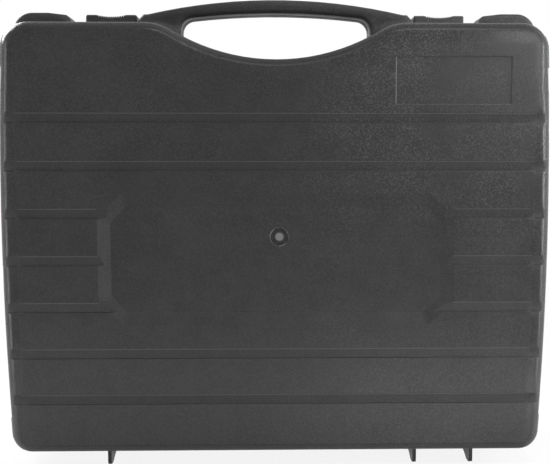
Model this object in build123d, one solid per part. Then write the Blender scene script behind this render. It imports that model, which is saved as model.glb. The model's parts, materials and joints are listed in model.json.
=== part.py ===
from build123d import *
from math import cos, hypot, radians, sin, sqrt
import os

# Portable gas stove packed in its moulded carry case.
# Frame: +Z up with the case standing on its feet, front face towards -Y, X across the width.
# Origin: on the floor under the middle of the closed case, in the parting plane of the two shells.
# Lengths are in millimetres and angles in degrees.

# Shared values
OVERRUN = 1.0                    # how far a cutting solid runs past the face that it opens
SEAT_GAP = 0.3                   # clearance between pieces that sit in or slide on each other
PIN_GAP = 0.05                   # radial clearance of a pin in its hole

# Carry case: main form of both shells
CASE_WIDTH = 380.2               # outline at the parting plane, at its corners
CASE_HEIGHT = 306.0              # bottom wall to top wall
SIDE_BOW = 4.3                   # how far the side walls bow out at mid height
SHELL_DEPTH = 54.0               # one shell, parting plane to outer face
WALL = 2.4
DRAFT = 1.5
TOP_CORNER_RADIUS = 20.0
BOTTOM_CORNER_RADIUS = 15.0
FACE_EDGE_RADIUS = 6.0
DIP_DEPTH = 25.0                 # hand hollow in the top edge
DIP_LAP = 11.4                   # hollow beyond each end of the grip opening
DIP_SHOULDER_RADIUS = 40.0
LIP_HEIGHT = 2.0                 # tongue round the rear shell's rim
LIP_THICKNESS = 1.4

# Carry case: handle, half of it on each shell
HANDLE_END_ROOM = 89.9           # handle's end to the case's side, for a latch and a bumper
HANDLE_ROOT_LENGTH = 7.5
HANDLE_ROOT_BEVEL = 4.6
HANDLE_RISE = 19.4               # above the top wall at mid length
TOP_RAIL_RISE = 9.0              # handle ends and latches
HANDLE_HALF_DEPTH = 14.0
HANDLE_WALL = 2.2
HANDLE_EDGE_RADIUS = 3.0
GRIP_END_LENGTH = 31.6           # solid end of the handle beside the grip opening
GRIP_RISE = 10.1
GRIP_END_RISE = 5.7
GRIP_CORNER_RADIUS = 9.0

# Carry case: corner bumpers and guards
BUMPER_INSET = 0.8               # inside the case's side
BUMPER_GAP = 1.7                 # to the end of the open latch
BUMPER_RISE = 9.7
BUMPER_END_RISE = 8.2            # at the end beside the latch
BUMPER_FALL_LENGTH = 16.0
BUMPER_SLOPE = 3.0
BUMPER_ROUND = 13.5
GUARD_RISE = 0.9
GUARD_SETBACK = 7.0
GUARD_TOP_LENGTH = 31.5
GUARD_BOTTOM_LENGTH = 26.0

# Carry case: relief of the outer faces
GROOVE_COUNT = 7
GROOVE_FIRST = 63.3              # upper edge of the first groove below the top wall
GROOVE_LAST = 43.8               # upper edge of the last groove above the bottom wall
GROOVE_WIDTH = 7.2
GROOVE_SHALLOW = 0.25
GROOVE_DEEP = 0.8
GROOVE_FLANK = 0.6
PANEL_SIDE_ROOM = 64.6           # panel's edge to the case's side
PANEL_DROP = 12.45               # panel's middle below the case's middle
PANEL_HEIGHT = 93.3
PANEL_CHAMFER = 17.0
PANEL_ROUND = 6.0
PANEL_SLOPE = 9.0
PANEL_DEPTH = 1.6
LABEL_SIDE_ROOM = 26.5           # label field's edge to the case's side
LABEL_FIRST = 24.5               # below the top wall
LABEL_WIDTH = 80.5
LABEL_HEIGHT = 32.7
LABEL_DEPTH = 0.6
GATE_X = 2.0                     # moulding gate
GATE_FIRST = 30.7                # below the panel's upper edge
GATE_RADIUS = 6.6
GATE_STUB_RADIUS = 3.3
GATE_DEPTH = 1.0
GATE_STUB_DROP = 0.2

# Carry case: hinge arms, which are also the feet
FOOT_HEIGHT = 10.0
ARM_REACH = 46.0
ARM_THICKNESS = 2.6
ARM_CORNER_RADIUS = 3.0
ARM_TOE = 10.0                   # foot at the arm's end, before the hollow under the arm
ARM_HOLLOW = 3.5
ARM_ROOT = 1.9                   # how far an arm runs into the bottom wall
HINGE_SIDE_ROOM = 68.9           # middle of a hinge to the case's side
HINGE_HALF_SPREAD = 20.7
HINGE_DROP = 5.5                 # axis below the bottom wall
KNUCKLE_RADIUS = 4.1
HINGE_PIN_RADIUS = 2.0
HINGE_HEAD_RADIUS = 3.4
HINGE_HEAD_LENGTH = 1.2

# Carry case: sliding latches
LATCH_GAP = 0.8                  # to the handle's end
LATCH_LENGTH = 36.8
LATCH_TRAVEL = 8.5
LATCH_HALF_DEPTH = 9.0
LATCH_EDGE_RADIUS = 1.2
LATCH_LIFT = 0.5                 # running clearance above the top wall
LATCH_ROOF = 4.0                 # underside of the roof above the top wall
LATCH_FRONT_WALL = 3.8
LATCH_REAR_WALL = 2.0
LATCH_LIP_REACH = 3.0
LATCH_LIP_HEIGHT = 1.5
HOLLOW_MARGIN = 7.0
HOLLOW_DEPTH = 1.4
RIB_COUNT = 12
RIB_PITCH = 1.6
RIB_SLOT = 0.8
RIB_DEPTH = 0.6
RIB_LAND = 0.9                   # plain band between the roof's underside and the ribs
RAIL_WEB = 2.0
RAIL_OFFSET = 1.5                # rail and keeper posts stand this far from the parting plane
RAIL_RUN_OUT = 3.0
POST_FIRST = 3.0
POST_LENGTH = 6.0
POST_PITCH = 18.0

# Carry case: ribs that hold the stove
RIB_THICKNESS = 2.0
CRADLE_RIB_INSET = 50.0          # inside the stove's sides
SIDE_RIB_HEIGHTS_SHARES = (0.28, 0.72)
RIB_TOP_DEPTH = 8.0              # ribs stop this far inside the parting plane

# Stove: overall, in its own frame with X to the cook's right, Y to the back and Z up
STOVE_SIDE_ROOM = 22.1           # stove's side to the case's side
STOVE_END_ROOM = 10.5            # stove's front and back to the case's bottom wall and hand hollow
STOVE_FOOT_HEIGHT = 8.0
BODY_HEIGHT = 60.0
BODY_CORNER = 10.0
BODY_EDGE = 6.0
SHEET = 0.6
FOOT_RADIUS = 10.0
FOOT_TIP_RADIUS = 8.0
FOOT_INSET = 28.0
VENT_COUNT = 7
VENT_PITCH = 15.0
VENT_WIDTH = 5.0
VENT_HEIGHT = 22.0
FLOOR_VENT_COUNT = 9
FLOOR_VENT_LENGTH = 110.0

# Stove: burner side
DISH_MARGIN = 16.5               # dish to the nearest wall of its compartment
DISH_SLOPE = 12.0
DISH_DROP = 8.0
COLLAR_GAP = 12.0                # collar round the burner cap
COLLAR_HEIGHT = 4.0
DRIP_MARGIN = 8.0                # drip pan inside the body's edges
DRIP_CORNER = 14.0
TRIVET_LAP = 6.0                 # outer ring beyond the dish
TRIVET_RING_WIDTH = 6.0
TRIVET_RING_HEIGHT = 2.0
TRIVET_EYE_GAP = 4.0             # arms round the collar
TRIVET_ARM_COUNT = 4
TRIVET_ARM_THICKNESS = 2.0
TRIVET_ARM_HEIGHT = 16.0
TRIVET_SIDE_GAP = 2.0            # arms inside the slope of the dish
TRIVET_RIM_GAP = 1.0             # arms above the rim of the dish
CAP_RADIUS = 34.0
CAP_HEIGHT = 11.0
CAP_CROWN = 3.0
CAP_EYE_RADIUS = 14.0
PORT_COUNT = 32
PORT_WIDTH = 1.8
PORT_DEPTH = 5.0
PORT_LOW = 3.0                   # above the cap's seat
PORT_HEIGHT = 4.0
CUP_RADIUS = 30.0
CUP_HEIGHT = 22.0
CUP_WALL = 3.0
BURNER_STAND_RADIUS = 24.0
BURNER_STAND_WALL = 1.5
STAND_WINDOW = 22.0
STAND_BAND = 5.0
SOCKET_RADIUS = 10.0
SOCKET_LENGTH = 10.0
TUBE_RADIUS = 7.5
TUBE_WALL = 1.2
TUBE_MOUTH_GAP = 4.0
JET_RADIUS = 4.0
JET_LENGTH = 12.0
JET_NOSE_LENGTH = 4.0
JET_BORE = 0.6
OUTLET_RADIUS = 6.5
OUTLET_SIDE = 24.0               # elbow to the left of the cartridge's axis
OUTLET_BACK = 18.0               # behind the front wall
ELECTRODE_RADIUS = 2.5
ELECTRODE_REACH = 40.0
ELECTRODE_ANGLE = -70.0
ELECTRODE_LENGTH = 24.0
ELECTRODE_LIFT = 1.0             # above the bottom of the burner cup
ELECTRODE_TIP_RADIUS = 0.8
ELECTRODE_TIP_LENGTH = 6.0
EAR_THICKNESS = 2.5
EAR_HALF_WIDTH = 5.0

# Stove: cartridge side
BAY_WIDTH = 88.0
BAY_SIDE_ROOM = 16.0             # bay opening to the body's right side
BAY_FRONT_ROOM = 36.0
BAY_BACK_ROOM = 18.0
PARTITION_GAP = 3.0              # heat shield to the bay opening
CARTRIDGE_SIDE = 40.0            # cartridge's axis to the bay's right edge
CARTRIDGE_RADIUS = 33.5
CARTRIDGE_LIFT = 2.6             # cartridge above the bottom plate
COVER_LAP = 3.0                  # cover beyond the bay opening
COVER_SIDE = 4.0
COVER_RISE = 10.0
COVER_SHEET = 0.7
COVER_PIN_OFFSET = 2.6
COVER_PIN_HEIGHT = 3.0
COVER_PIN_RADIUS = 1.2
COVER_KNUCKLE_RADIUS = 2.3
COVER_KNUCKLE_LENGTH = 14.0
COVER_KNUCKLE_ROOM = 33.0        # middle of a set of knuckles to the bay's end
CRADLE_HALF_WIDTH = 22.0
CRADLE_THICKNESS = 2.0
CRADLE_ROOM = 43.0               # cradle to the bay's end
COVER_TAB_HALF = 20.0            # finger tab on the cover's free edge
COVER_TAB_REACH = 3.0
COVER_TAB_LIFT = 2.0
CRADLE_TOP = 26.0
REGULATOR_RADIUS = 19.0
REGULATOR_FRONT = 8.0            # behind the front wall
REGULATOR_LENGTH = 25.0
REGULATOR_RIM = 2.0
REGULATOR_RIM_DEPTH = 6.0
REGULATOR_FOOT_HALF = 12.0
REGULATOR_FOOT_HEIGHT = 18.0
SEAL_RADIUS = 9.0
SEAL_BORE = 4.0
SEAL_THICKNESS = 3.0
BRACKET_GAP = 5.0                # to the heat shield
BRACKET_THICKNESS = 1.5
PIEZO_WIDTH = 18.0
PIEZO_DEPTH = 20.0
PIEZO_HEIGHT = 16.0
PIEZO_NOSE_RADIUS = 4.0
PIEZO_NOSE_LENGTH = 4.0
PIEZO_MARGIN = 1.0               # inside the bracket's left edge
LEAD_RADIUS = 1.2
LEAD_BEND = 5.0
LEAD_RAMP = 14.0
LEAD_HOLE_RADIUS = 2.5

# Stove: control panel, knob and cartridge lock
FASCIA_WIDTH = 91.0
FASCIA_SIDE_ROOM = 11.0          # to the body's right side
FASCIA_MARGIN = 6.0              # below the deck and above the body's lower edge
FASCIA_THICKNESS = 1.5
FASCIA_CORNER = 6.0
SPINDLE_RADIUS = 3.0
SPINDLE_HOLE_RADIUS = 5.0
SPINDLE_DEPTH = 5.0              # inside the regulator
KNOB_RADIUS = 17.0
KNOB_SKIRT = 4.0
KNOB_BODY_RADIUS = 13.0
KNOB_LENGTH = 15.0
KNOB_GRIP_HALF = 4.0
KNOB_GRIP_CUT = 7.0
KNOB_EDGE = 1.0
KNOB_BORE_DEPTH = 11.0
LEVER_INSET = 6.0                # inside the bay's right edge
LEVER_TRAVEL = 12.0
PUSHER_TRAVEL = 9.0
LEVER_TAB_WIDTH = 10.0
LEVER_TAB_HEIGHT = 9.0
LEVER_TAB_REACH = 13.0
LEVER_STEM = 4.0
LEVER_DROP = 18.0                # lever at rest below the deck
CAM_THICKNESS = 2.0
CAM_LOW = 22.0
CAM_DEPTH = 26.0
CAM_STANDOFF = 3.0               # cam plate behind the front wall
CAM_PIN_RADIUS = 2.0
CAM_PIN_HEIGHT = 27.0
CAM_PIN_BACK = 20.0              # cam pin behind the front edge of the cam plate
PUSHER_THICKNESS = 2.0
PUSHER_STRIP = 10.0
PUSHER_EAR_LENGTH = 12.0
PUSHER_EAR_TOP = 32.0
PUSHER_BACK_ROOM = 8.0           # pusher's rear tab to the bay's rear edge
PUSHER_TAB_HALF = 11.0
PUSHER_TAB_HEIGHT = 50.0
SPRING_RADIUS = 3.0
SPRING_WIRE = 0.5
SPRING_WIRE_SIDES = 8
SPRING_TURNS = 7
SPRING_GAP_POINTS = 168          # points along the wire where its gap to itself is measured
SPRING_HEIGHT = 16.0
SPRING_TAB_HALF = 5.0
SPRING_TAB_ROOM = 8.0            # spring's post to the body's rear wall
SCREW_HEAD_RADIUS = 3.5
SCREW_HEAD_HEIGHT = 1.8
SCREW_SHANK_RADIUS = 1.5
SCREW_SHANK_LENGTH = 8.0
SCREW_SPREAD_SHARES = (0.455, 0.3)

# Places worked out from the sizes above
CASE_BOTTOM = FOOT_HEIGHT
CASE_TOP = FOOT_HEIGHT + CASE_HEIGHT
CASE_SIDE = CASE_WIDTH / 2
HANDLE_HALF_LENGTH = CASE_SIDE - HANDLE_END_ROOM
GRIP_HALF_WIDTH = HANDLE_HALF_LENGTH - GRIP_END_LENGTH
DIP_HALF_WIDTH = GRIP_HALF_WIDTH + DIP_LAP
DIP_RADIUS = (DIP_HALF_WIDTH ** 2 + DIP_DEPTH ** 2) / (2 * DIP_DEPTH)
HINGE_CENTRE = CASE_SIDE - HINGE_SIDE_ROOM
HINGE_AXIS_HEIGHT = CASE_BOTTOM - HINGE_DROP
LATCH_INNER = HANDLE_HALF_LENGTH + LATCH_GAP
BUMPER_INNER = LATCH_INNER + LATCH_LENGTH + LATCH_TRAVEL + BUMPER_GAP
BUMPER_OUTER = CASE_SIDE - BUMPER_INSET
GROOVE_PITCH = (CASE_HEIGHT - GROOVE_FIRST - GROOVE_LAST) / (GROOVE_COUNT - 1)
PANEL_HALF_WIDTH = CASE_SIDE - PANEL_SIDE_ROOM
PANEL_MIDDLE = CASE_TOP - CASE_HEIGHT / 2 - PANEL_DROP
LABEL_LEFT = CASE_SIDE - LABEL_SIDE_ROOM - LABEL_WIDTH
RAIL_TOP = LATCH_ROOF - SEAT_GAP
RAIL_HEAD_LOW = LATCH_LIFT + LATCH_LIP_HEIGHT + SEAT_GAP
STOVE_WIDTH = CASE_WIDTH - 2 * STOVE_SIDE_ROOM
STOVE_DEPTH = CASE_HEIGHT - DIP_DEPTH - 2 * STOVE_END_ROOM
BODY_TOP = STOVE_FOOT_HEIGHT + BODY_HEIGHT
FLOOR_TOP = STOVE_FOOT_HEIGHT + SHEET
FRONT_Y = -STOVE_DEPTH / 2
BACK_Y = STOVE_DEPTH / 2
BAY_RIGHT = STOVE_WIDTH / 2 - BAY_SIDE_ROOM
BAY_LEFT = BAY_RIGHT - BAY_WIDTH
BAY_FRONT = FRONT_Y + BAY_FRONT_ROOM
BAY_BACK = BACK_Y - BAY_BACK_ROOM
PARTITION_X = BAY_LEFT - PARTITION_GAP
BURNER_X = (PARTITION_X - STOVE_WIDTH / 2) / 2
DISH_RADIUS = min(PARTITION_X - BURNER_X, BACK_Y) - DISH_MARGIN
COLLAR_RADIUS = CAP_RADIUS + COLLAR_GAP
TRIVET_RADIUS = DISH_RADIUS + TRIVET_LAP
TRIVET_EYE_RADIUS = COLLAR_RADIUS + TRIVET_EYE_GAP
CARTRIDGE_X = BAY_RIGHT - CARTRIDGE_SIDE
CARTRIDGE_HEIGHT = FLOOR_TOP + CARTRIDGE_LIFT + CARTRIDGE_RADIUS + SEAT_GAP
CUP_RIM = BODY_TOP + SHEET - DISH_DROP - COLLAR_HEIGHT
CUP_LOW = CUP_RIM - CUP_HEIGHT
GAS_LINE_HEIGHT = CUP_RIM - CUP_HEIGHT / 2
OUTLET_X = CARTRIDGE_X - OUTLET_SIDE
BRACKET_LEFT = PARTITION_X + BRACKET_GAP
FASCIA_RIGHT = STOVE_WIDTH / 2 - FASCIA_SIDE_ROOM
FASCIA_LEFT = FASCIA_RIGHT - FASCIA_WIDTH
FASCIA_LOW = STOVE_FOOT_HEIGHT + FASCIA_MARGIN
FASCIA_HIGH = BODY_TOP - FASCIA_MARGIN
LEVER_X = BAY_RIGHT - LEVER_INSET
LEVER_REST_HEIGHT = BODY_TOP - LEVER_DROP
PUSHER_BACK = BAY_BACK - PUSHER_BACK_ROOM
SPRING_TAB_Y = BACK_Y - SPRING_TAB_ROOM
REGULATOR_Y = FRONT_Y + REGULATOR_FRONT
REGULATOR_BACK_Y = REGULATOR_Y + REGULATOR_LENGTH
OUTLET_Y = FRONT_Y + OUTLET_BACK
GAS_SPAN = hypot(OUTLET_X - BURNER_X, OUTLET_Y)
COVER_LEFT = BAY_LEFT - COVER_LAP
COVER_RIGHT = BAY_RIGHT + COVER_LAP
COVER_AXIS_X = COVER_RIGHT + COVER_PIN_OFFSET
COVER_AXIS_HEIGHT = BODY_TOP + COVER_PIN_HEIGHT
CAM_FRONT_Y = FRONT_Y + CAM_STANDOFF
CAM_PIN_Y = CAM_FRONT_Y + CAM_PIN_BACK
STOVE_MIDDLE = (CASE_BOTTOM + CASE_TOP - DIP_DEPTH) / 2
STOVE_SEAT_Y = SHELL_DEPTH - WALL

# Planes: each shell is drawn as seen from outside, and the stove lies with its top towards the front
FRONT_PLANE = Plane(origin=(0, 0, 0), x_dir=(1, 0, 0), z_dir=(0, -1, 0))
REAR_PLANE = Plane(origin=(0, 0, 0), x_dir=(-1, 0, 0), z_dir=(0, 1, 0))
STOVE_PLANE = Plane(origin=(0, STOVE_SEAT_Y, STOVE_MIDDLE), x_dir=(-1, 0, 0), z_dir=(0, -1, 0))
GAS_PLANE = Plane(
    origin=(BURNER_X, 0, GAS_LINE_HEIGHT),
    z_dir=(OUTLET_X - BURNER_X, OUTLET_Y, 0),
)
ON_BASE = (Align.CENTER, Align.CENTER, Align.MIN)


# Shape helpers
def block(x, y, z):
    """Box between two corners, with each range given as (low, high)."""
    size = (x[1] - x[0], y[1] - y[0], z[1] - z[0])
    return Pos(sum(x) / 2, sum(y) / 2, sum(z) / 2) * Box(*size)


def rod(radius, start, end):
    """Round bar from one point to another."""
    axis = Vector(*end) - Vector(*start)
    return Plane(origin=start, z_dir=axis) * Cylinder(radius, axis.length, align=ON_BASE)


def turned(points):
    """Solid of revolution about Z, from (radius, height) points."""
    return revolve(Plane.XZ * make_face(Polyline(*points, close=True)), Axis.Z)


def arc_radius(half_chord, rise):
    """Radius of the arc that rises by that much over that half chord."""
    return (half_chord ** 2 + rise ** 2) / (2 * rise)


def outer_edges(solid):
    """Edges round the face that lies furthest along +Z."""
    return solid.faces().sort_by(Axis.Z)[-1].edges()


def both_sides(solid):
    """The solid and its mirror image across the middle plane."""
    return solid + mirror(solid, about=Plane.YZ)


# Carry case shells, drawn with X across, Y up from the floor and Z out from the parting plane
def case_outline(inset=0):
    """Case outline at the parting plane with the hand hollow in its top edge, inset evenly."""
    middle = (CASE_BOTTOM + CASE_TOP) / 2
    bowed = CASE_SIDE + SIDE_BOW
    outline = make_face([
        Line((-CASE_SIDE, CASE_BOTTOM), (CASE_SIDE, CASE_BOTTOM)),
        ThreePointArc((CASE_SIDE, CASE_BOTTOM), (bowed, middle), (CASE_SIDE, CASE_TOP)),
        Line((CASE_SIDE, CASE_TOP), (-CASE_SIDE, CASE_TOP)),
        ThreePointArc((-CASE_SIDE, CASE_TOP), (-bowed, middle), (-CASE_SIDE, CASE_BOTTOM)),
    ])
    outline -= Pos(0, CASE_TOP - DIP_DEPTH + DIP_RADIUS) * Circle(DIP_RADIUS)
    corners = outline.vertices().group_by(Axis.Y)[0]
    outline = fillet(corners, BOTTOM_CORNER_RADIUS)
    shoulders = outline.vertices().group_by(Axis.Y)[-1].sort_by(Axis.X)[1:-1]
    outline = fillet(shoulders, DIP_SHOULDER_RADIUS)
    top = outline.vertices().group_by(Axis.Y)[-1].sort_by(Axis.X)
    outline = fillet([top[0], top[-1]], TOP_CORNER_RADIUS)
    return offset(outline, amount=-inset) if inset else outline


def drafted_block(inset, depth, edge_radius):
    """Solid of the case outline with the mould's draft and a rounded outer edge."""
    solid = extrude(case_outline(inset), amount=depth, taper=DRAFT)
    return fillet(outer_edges(solid), edge_radius)


def handle_profile():
    """Half handle seen from outside: the arch and its two roots, without the grip opening."""
    arch_radius = arc_radius(HANDLE_HALF_LENGTH - HANDLE_ROOT_LENGTH, HANDLE_RISE - TOP_RAIL_RISE)
    low = CASE_TOP - DIP_DEPTH
    strip_height = HANDLE_RISE + DIP_DEPTH
    strip = Pos(0, low + strip_height / 2) * Rectangle(2 * HANDLE_HALF_LENGTH, strip_height)
    arch = strip & Pos(0, CASE_TOP + HANDLE_RISE - arch_radius) * Circle(arch_radius)
    root_top = CASE_TOP + TOP_RAIL_RISE
    root = make_face(Polyline(
        (HANDLE_HALF_LENGTH - HANDLE_ROOT_LENGTH, low),
        (HANDLE_HALF_LENGTH, low),
        (HANDLE_HALF_LENGTH, root_top - HANDLE_ROOT_BEVEL),
        (HANDLE_HALF_LENGTH - HANDLE_ROOT_BEVEL, root_top),
        (HANDLE_HALF_LENGTH - HANDLE_ROOT_LENGTH, root_top),
        close=True,
    ))
    ends = Pos(HANDLE_HALF_LENGTH, root_top) * Rectangle(2 * HANDLE_ROOT_LENGTH, 2 * HANDLE_RISE)
    arch = arch - ends - mirror(ends, about=Plane.YZ) + root + mirror(root, about=Plane.YZ)
    grip_radius = arc_radius(GRIP_HALF_WIDTH, GRIP_RISE - GRIP_END_RISE)
    grip_height = GRIP_RISE + 2 * DIP_DEPTH
    grip = Pos(0, CASE_TOP + GRIP_RISE - grip_height / 2) * Rectangle(2 * GRIP_HALF_WIDTH, grip_height)
    grip &= Pos(0, CASE_TOP + GRIP_RISE - grip_radius) * Circle(grip_radius)
    grip = fillet(grip.vertices().group_by(Axis.Y)[-1], GRIP_CORNER_RADIUS)
    return arch - grip


def bumper_profile():
    """Raised bumper on the top wall beside the right-hand latch."""
    low = CASE_TOP - TOP_CORNER_RADIUS
    end_top = CASE_TOP + BUMPER_END_RISE
    top = CASE_TOP + BUMPER_RISE
    face = make_face(Polyline(
        (BUMPER_INNER, low),
        (BUMPER_INNER, end_top - BUMPER_SLOPE),
        (BUMPER_INNER + BUMPER_SLOPE, end_top),
        (BUMPER_INNER + BUMPER_FALL_LENGTH, top),
        (BUMPER_OUTER, top),
        (BUMPER_OUTER, low),
        close=True,
    ))
    crown = face.vertices().group_by(Axis.Y)[-1].sort_by(Axis.X)
    return fillet(crown[-1], BUMPER_ROUND) - case_outline(WALL / 2)


def corner_guards():
    """Slightly raised corners of the side walls."""
    skin = extrude(case_outline(-GUARD_RISE), amount=SHELL_DEPTH - GUARD_SETBACK, taper=DRAFT)
    ends = ((CASE_BOTTOM - OVERRUN, CASE_BOTTOM + GUARD_BOTTOM_LENGTH),
            (CASE_TOP - GUARD_TOP_LENGTH, CASE_TOP - TOP_CORNER_RADIUS / 2))
    reach = (CASE_SIDE - BOTTOM_CORNER_RADIUS / 2, CASE_SIDE + SIDE_BOW + GUARD_RISE)
    zones = [block(reach, end, (0, SHELL_DEPTH)) for end in ends]
    return both_sides(skin & (zones[0] + zones[1]))


def panel_outline(inset):
    """Eight-sided middle panel, inset evenly."""
    half_width = PANEL_HALF_WIDTH - inset
    half_height = PANEL_HEIGHT / 2 - inset
    face = Rectangle(2 * half_width, 2 * half_height)
    face = chamfer(face.vertices(), PANEL_CHAMFER - inset * (2 - sqrt(2)))
    return Pos(0, PANEL_MIDDLE) * fillet(face.vertices(), PANEL_ROUND)


def face_relief():
    """What the outer face of a shell loses: level grooves and the sunken middle panel."""
    half = CASE_SIDE + SIDE_BOW + OVERRUN
    proud = SHELL_DEPTH + OVERRUN
    section = make_face(Polyline(
        (0, proud),
        (0, SHELL_DEPTH - GROOVE_SHALLOW),
        (-(GROOVE_WIDTH - GROOVE_FLANK), SHELL_DEPTH - GROOVE_DEEP),
        (-GROOVE_WIDTH, SHELL_DEPTH),
        (-GROOVE_WIDTH, proud),
        close=True,
    ))
    side_plane = Plane(origin=(-half, 0, 0), x_dir=(0, 1, 0), z_dir=(1, 0, 0))
    groove = extrude(side_plane * section, amount=2 * half)
    relief = Part()
    for step in range(GROOVE_COUNT):
        relief += Pos(0, CASE_TOP - GROOVE_FIRST - step * GROOVE_PITCH, 0) * groove
    floor = SHELL_DEPTH - PANEL_DEPTH
    rim = Pos(0, 0, SHELL_DEPTH) * panel_outline(0)
    relief += loft([Pos(0, 0, floor) * panel_outline(PANEL_SLOPE), rim], ruled=True)
    return relief + extrude(rim, amount=OVERRUN)


def gate_recess():
    """Round recess of the moulding gate with its broken-off stub."""
    floor = SHELL_DEPTH - PANEL_DEPTH
    recess = Pos(0, 0, floor - GATE_DEPTH) * Cylinder(GATE_RADIUS, GATE_DEPTH + OVERRUN, align=ON_BASE)
    stub_height = GATE_DEPTH - GATE_STUB_DROP
    recess -= Pos(0, 0, floor - GATE_DEPTH) * Cylinder(GATE_STUB_RADIUS, stub_height, align=ON_BASE)
    return Pos(GATE_X, PANEL_MIDDLE + PANEL_HEIGHT / 2 - GATE_FIRST, 0) * recess


def hinge_arm(x):
    """Arm under the bottom wall: a foot at its outer end and a hinge eye at the parting plane."""
    root = CASE_BOTTOM + ARM_ROOT
    side = Pos(ARM_REACH / 2, root / 2) * Rectangle(ARM_REACH, root)
    toe = side.vertices().group_by(Axis.X)[-1].sort_by(Axis.Y)[0]
    side = fillet(toe, ARM_CORNER_RADIUS)
    half_hollow = (ARM_REACH - ARM_TOE - KNUCKLE_RADIUS) / 2
    hollow_radius = arc_radius(half_hollow, ARM_HOLLOW)
    side -= Pos(KNUCKLE_RADIUS + half_hollow, ARM_HOLLOW - hollow_radius) * Circle(hollow_radius)
    side -= Pos(0, HINGE_AXIS_HEIGHT / 2) * Rectangle(2 * KNUCKLE_RADIUS, HINGE_AXIS_HEIGHT)
    side += Pos(0, HINGE_AXIS_HEIGHT) * Circle(KNUCKLE_RADIUS)
    left = Plane(origin=(x - ARM_THICKNESS / 2, 0, 0), x_dir=(0, 0, 1), z_dir=(-1, 0, 0))
    return extrude(left * side, amount=-ARM_THICKNESS)


def hinge_sleeve():
    """Long knuckle of the single arm, with the web that ties it to the bottom wall."""
    half = HINGE_HALF_SPREAD - ARM_THICKNESS / 2 - SEAT_GAP
    side = Pos(0, HINGE_AXIS_HEIGHT) * Circle(KNUCKLE_RADIUS)
    web_height = CASE_BOTTOM + ARM_ROOT - HINGE_AXIS_HEIGHT
    web_middle = HINGE_AXIS_HEIGHT + web_height / 2
    side += Pos(KNUCKLE_RADIUS / 2, web_middle) * Rectangle(KNUCKLE_RADIUS, web_height)
    left = Plane(origin=(-HINGE_CENTRE - half, 0, 0), x_dir=(0, 0, 1), z_dir=(-1, 0, 0))
    return extrude(left * side, amount=-2 * half)


def hinge_bores():
    """Pin holes on the hinge axis, through everything that a pin passes."""
    reach = HINGE_HALF_SPREAD + ARM_THICKNESS
    start = (HINGE_CENTRE - reach, HINGE_AXIS_HEIGHT, 0)
    end = (HINGE_CENTRE + reach, HINGE_AXIS_HEIGHT, 0)
    return both_sides(rod(HINGE_PIN_RADIUS + PIN_GAP, start, end))


def plain_shell():
    """What the two shells share."""
    solid = drafted_block(0, SHELL_DEPTH, FACE_EDGE_RADIUS)
    grip = handle_profile()
    handle = extrude(grip, amount=HANDLE_HALF_DEPTH)
    solid += fillet(outer_edges(handle), HANDLE_EDGE_RADIUS)
    bumper = extrude(bumper_profile(), amount=HANDLE_HALF_DEPTH)
    solid += both_sides(fillet(outer_edges(bumper), HANDLE_EDGE_RADIUS / 2))
    solid += corner_guards()
    solid -= drafted_block(WALL, SHELL_DEPTH - WALL, FACE_EDGE_RADIUS - WALL)
    hollow = offset(grip, amount=-HANDLE_WALL) - case_outline()
    solid -= extrude(hollow, amount=HANDLE_HALF_DEPTH - HANDLE_WALL)
    back = SHELL_DEPTH - PANEL_DEPTH - WALL
    solid += Pos(0, 0, back) * extrude(panel_outline(PANEL_SLOPE / 2), amount=PANEL_DEPTH + WALL / 2)
    solid -= face_relief()
    for x in (HINGE_CENTRE - HINGE_HALF_SPREAD, HINGE_CENTRE + HINGE_HALF_SPREAD, -HINGE_CENTRE):
        solid += hinge_arm(x)
    solid += hinge_sleeve()
    return solid - hinge_bores() - gate_recess()


def front_shell():
    """Lid: carries the label field and the keeper posts of the latches."""
    label = block(
        (LABEL_LEFT, LABEL_LEFT + LABEL_WIDTH),
        (CASE_TOP - LABEL_FIRST - LABEL_HEIGHT, CASE_TOP - LABEL_FIRST),
        (SHELL_DEPTH - LABEL_DEPTH, SHELL_DEPTH + OVERRUN),
    )
    solid = plain_shell() - label
    depth = (RAIL_OFFSET, LATCH_HALF_DEPTH - LATCH_FRONT_WALL - SEAT_GAP)
    height = (CASE_TOP - WALL / 2, CASE_TOP + RAIL_TOP)
    for first in (POST_FIRST, POST_FIRST + POST_PITCH):
        start = LATCH_INNER + first
        solid += both_sides(block((start, start + POST_LENGTH), height, depth))
    return FRONT_PLANE * solid


def rim_lip():
    """Tongue round the rear shell's rim, inside the lid's wall."""
    sheath = WALL + SEAT_GAP
    outer = case_outline(sheath)
    ring = outer - case_outline(sheath + LIP_THICKNESS)
    lip = Pos(0, 0, -LIP_HEIGHT) * extrude(ring, amount=2 * LIP_HEIGHT)
    collar = case_outline(WALL / 2) - case_outline(sheath + LIP_THICKNESS)
    return lip + Pos(0, 0, SEAT_GAP) * extrude(collar, amount=2 * LIP_HEIGHT)


def stove_ribs():
    """Ribs inside the rear shell that hold the stove on all four sides."""
    depth = (RIB_TOP_DEPTH, SHELL_DEPTH - WALL / 2)
    low = STOVE_MIDDLE - STOVE_DEPTH / 2 - SEAT_GAP
    high = STOVE_MIDDLE + STOVE_DEPTH / 2 + SEAT_GAP
    half = RIB_THICKNESS / 2
    rib_x = STOVE_WIDTH / 2 - CRADLE_RIB_INSET
    span = (rib_x - half, rib_x + half)
    ribs = both_sides(block(span, (CASE_BOTTOM + WALL / 2, low), depth))
    ribs += block((-half, half), (high, CASE_TOP - DIP_DEPTH - WALL / 2), depth)
    for share in SIDE_RIB_HEIGHTS_SHARES:
        y = low + share * (high - low)
        reach = (STOVE_WIDTH / 2 + SEAT_GAP, CASE_SIDE + SIDE_BOW)
        ribs += both_sides(block(reach, (y - half, y + half), depth))
    return ribs & extrude(case_outline(WALL / 2), amount=SHELL_DEPTH - WALL / 2, taper=DRAFT)


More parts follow.
